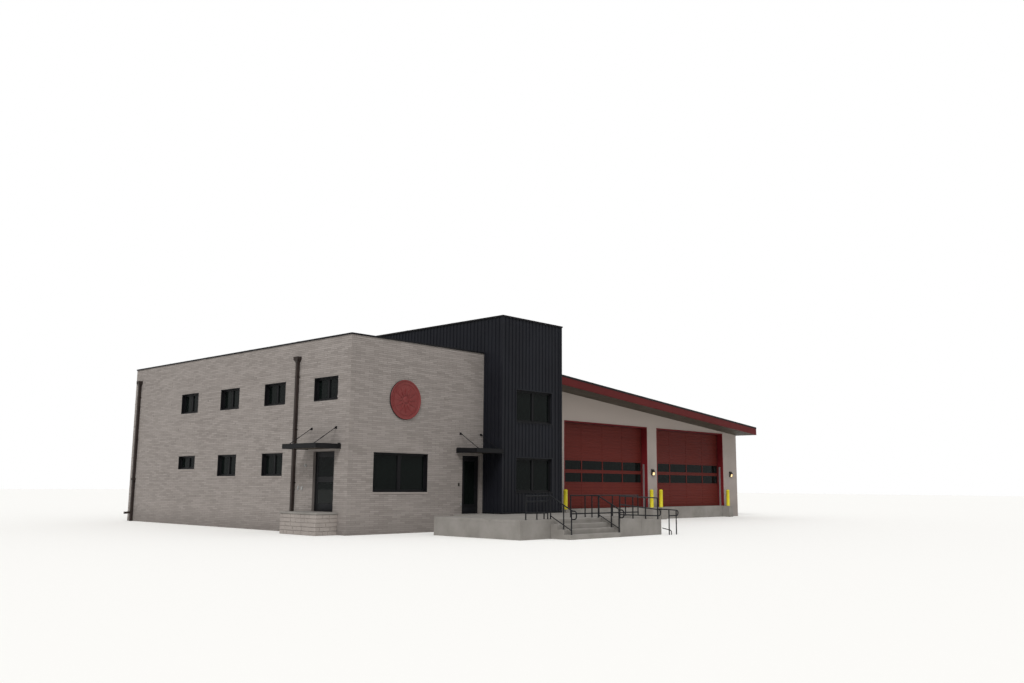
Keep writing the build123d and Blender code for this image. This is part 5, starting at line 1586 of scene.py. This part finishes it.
def buildFlatRoofs():
    build, drains = bmesh.new(), bmesh.new()
    edge, towerEdge = pick(flatRoof, "parapet towerParapet")
    rear = officeDepth - edge
    tower = inset((officeWidth, officeWidth + towerWide), towerEdge)
    r = flatRoof["drain"]
    drain = [(0, -2), (r, -2), (r, 12), (r * 0.8, 20), (r * 0.7, 90), (r * 0.4, 120), (0, 125)]
    for along, deep, top in (((edge, officeWidth), (edge, rear), flatRoof["officeTop"]),
                             (tower, (flatRoof["towerFront"] + towerEdge, rear), flatRoof["towerTop"])):
        count = math.ceil((deep[1] - deep[0]) / flatRoof["sheet"])
        step = (deep[1] - deep[0]) / count
        for k in range(count):
            low = deep[0] + step * k
            high = min(low + step + flatRoof["lap"], deep[1])
            addPlate(build, frontWall, inset(along, 1), (top - 1, top + (5 if k % 2 else 2)),
                     (-high, -low), 1)
        (left, right), (front, back) = (edgesOf(inset(span, -1), flatRoof["upstandThick"])
                                        for span in (along, deep))
        for across, far in ((along, front), (right, deep), (along, back), (left, deep)):
            addPlate(build, frontWall, across, (top - 1, top + flatRoof["upstand"]),
                     (-far[1], -far[0]), 1)
        for share in flatRoof["drains"]:
            place = deep[0] + (deep[1] - deep[0]) * share
            addTurned(drains, drain, seatOn(frontWall, sum(along) / 2, top + 4, -place) @ upright, 24)
    finishPiece(build, "flatRoofSheets", "roof_membrane")
    finishPiece(drains, "roofDrains", "pale_steel", smooth=40)


buildFlatRoofs()
print("fittings and flat roofs ready")

# Camera at the photograph's viewing angle, floor, lamps and the pale background
view = {
    "place": (-33.777, -30.229, 1.711), "yaw": 46.8665, "pitch": 8.8493, "roll": 0.4064,
    "lens": 32.396, "sensor": 36.0, "far": 1000.0, "floor": "f2f1ee", "floorSize": 400.0,
    "sunPower": 1.9, "sunAngle": 22.0, "sunFrom": (-0.62, -0.42, 0.66),
    "skyLow": 0.62, "skyHigh": 1.0, "skyLight": 0.75,
}


def cameraPlace():
    yaw, pitch, roll = (math.radians(turn) for turn in pick(view, "yaw pitch roll"))
    ahead = Vector((math.sin(yaw) * math.cos(pitch), math.cos(yaw) * math.cos(pitch), math.sin(pitch)))
    right = Vector((math.cos(yaw), -math.sin(yaw), 0))
    up = right.cross(ahead)
    rolledRight = right * math.cos(roll) + up * math.sin(roll)
    rolledUp = up * math.cos(roll) - right * math.sin(roll)
    return frameFrom(rolledRight, rolledUp, -ahead, view["place"])


camera = newObject("photoCamera", bpy.data.cameras.new("photoCamera"))
camera.data.lens, camera.data.sensor_width = view["lens"], view["sensor"]
camera.data.clip_end = view["far"]
camera.matrix_world = cameraPlace()
bpy.context.scene.camera = camera

floorBuild = bmesh.new()
bmesh.ops.create_grid(floorBuild, x_segments=1, y_segments=1, size=view["floorSize"] / 2)
floorMesh = bpy.data.meshes.new("floor")
floorBuild.to_mesh(floorMesh)
floorBuild.free()
floorMesh.materials.append(closeMaterial(startMaterial("plainFloor")[0], {
    "Roughness": 0.9, "Base Color": toLinear(view["floor"])}))
floor = newObject("floor", floorMesh)

sun = newObject("softSun", bpy.data.lights.new("softSun", "SUN"))
sun.data.energy, sun.data.angle = view["sunPower"], math.radians(view["sunAngle"])
sun.rotation_euler = Vector(view["sunFrom"]).to_track_quat("Z", "Y").to_euler()

world = bpy.data.worlds.new("studio")
world.use_nodes = True
bpy.context.scene.world = world
sky = world.node_tree
sky.nodes.clear()
skyHeight = split(sky, addNode(sky, "ShaderNodeTexCoord").outputs["Generated"])["Z"]
skyGlow = ramp(sky, skyHeight, [(0.0, grey(view["skyLow"])), (0.6, grey(view["skyHigh"]))])
skyLight, skyWhite = (addNode(sky, "ShaderNodeBackground", inputs={
    "Color": colour, "Strength": strength}).outputs[0]
    for colour, strength in ((skyGlow, view["skyLight"]), (grey(1.0), 1.0)))
rays = addNode(sky, "ShaderNodeLightPath").outputs
seen = calc(sky, "MAXIMUM", rays["Is Camera Ray"], rays["Is Transmission Ray"])
skyMix = addNode(sky, "ShaderNodeMixShader", inputs={0: seen, 1: skyLight, 2: skyWhite})
addNode(sky, "ShaderNodeOutputWorld", inputs={"Surface": skyMix.outputs[0]})
bpy.context.scene.view_settings.view_transform = "Standard"
print("camera, floor and lamps ready")
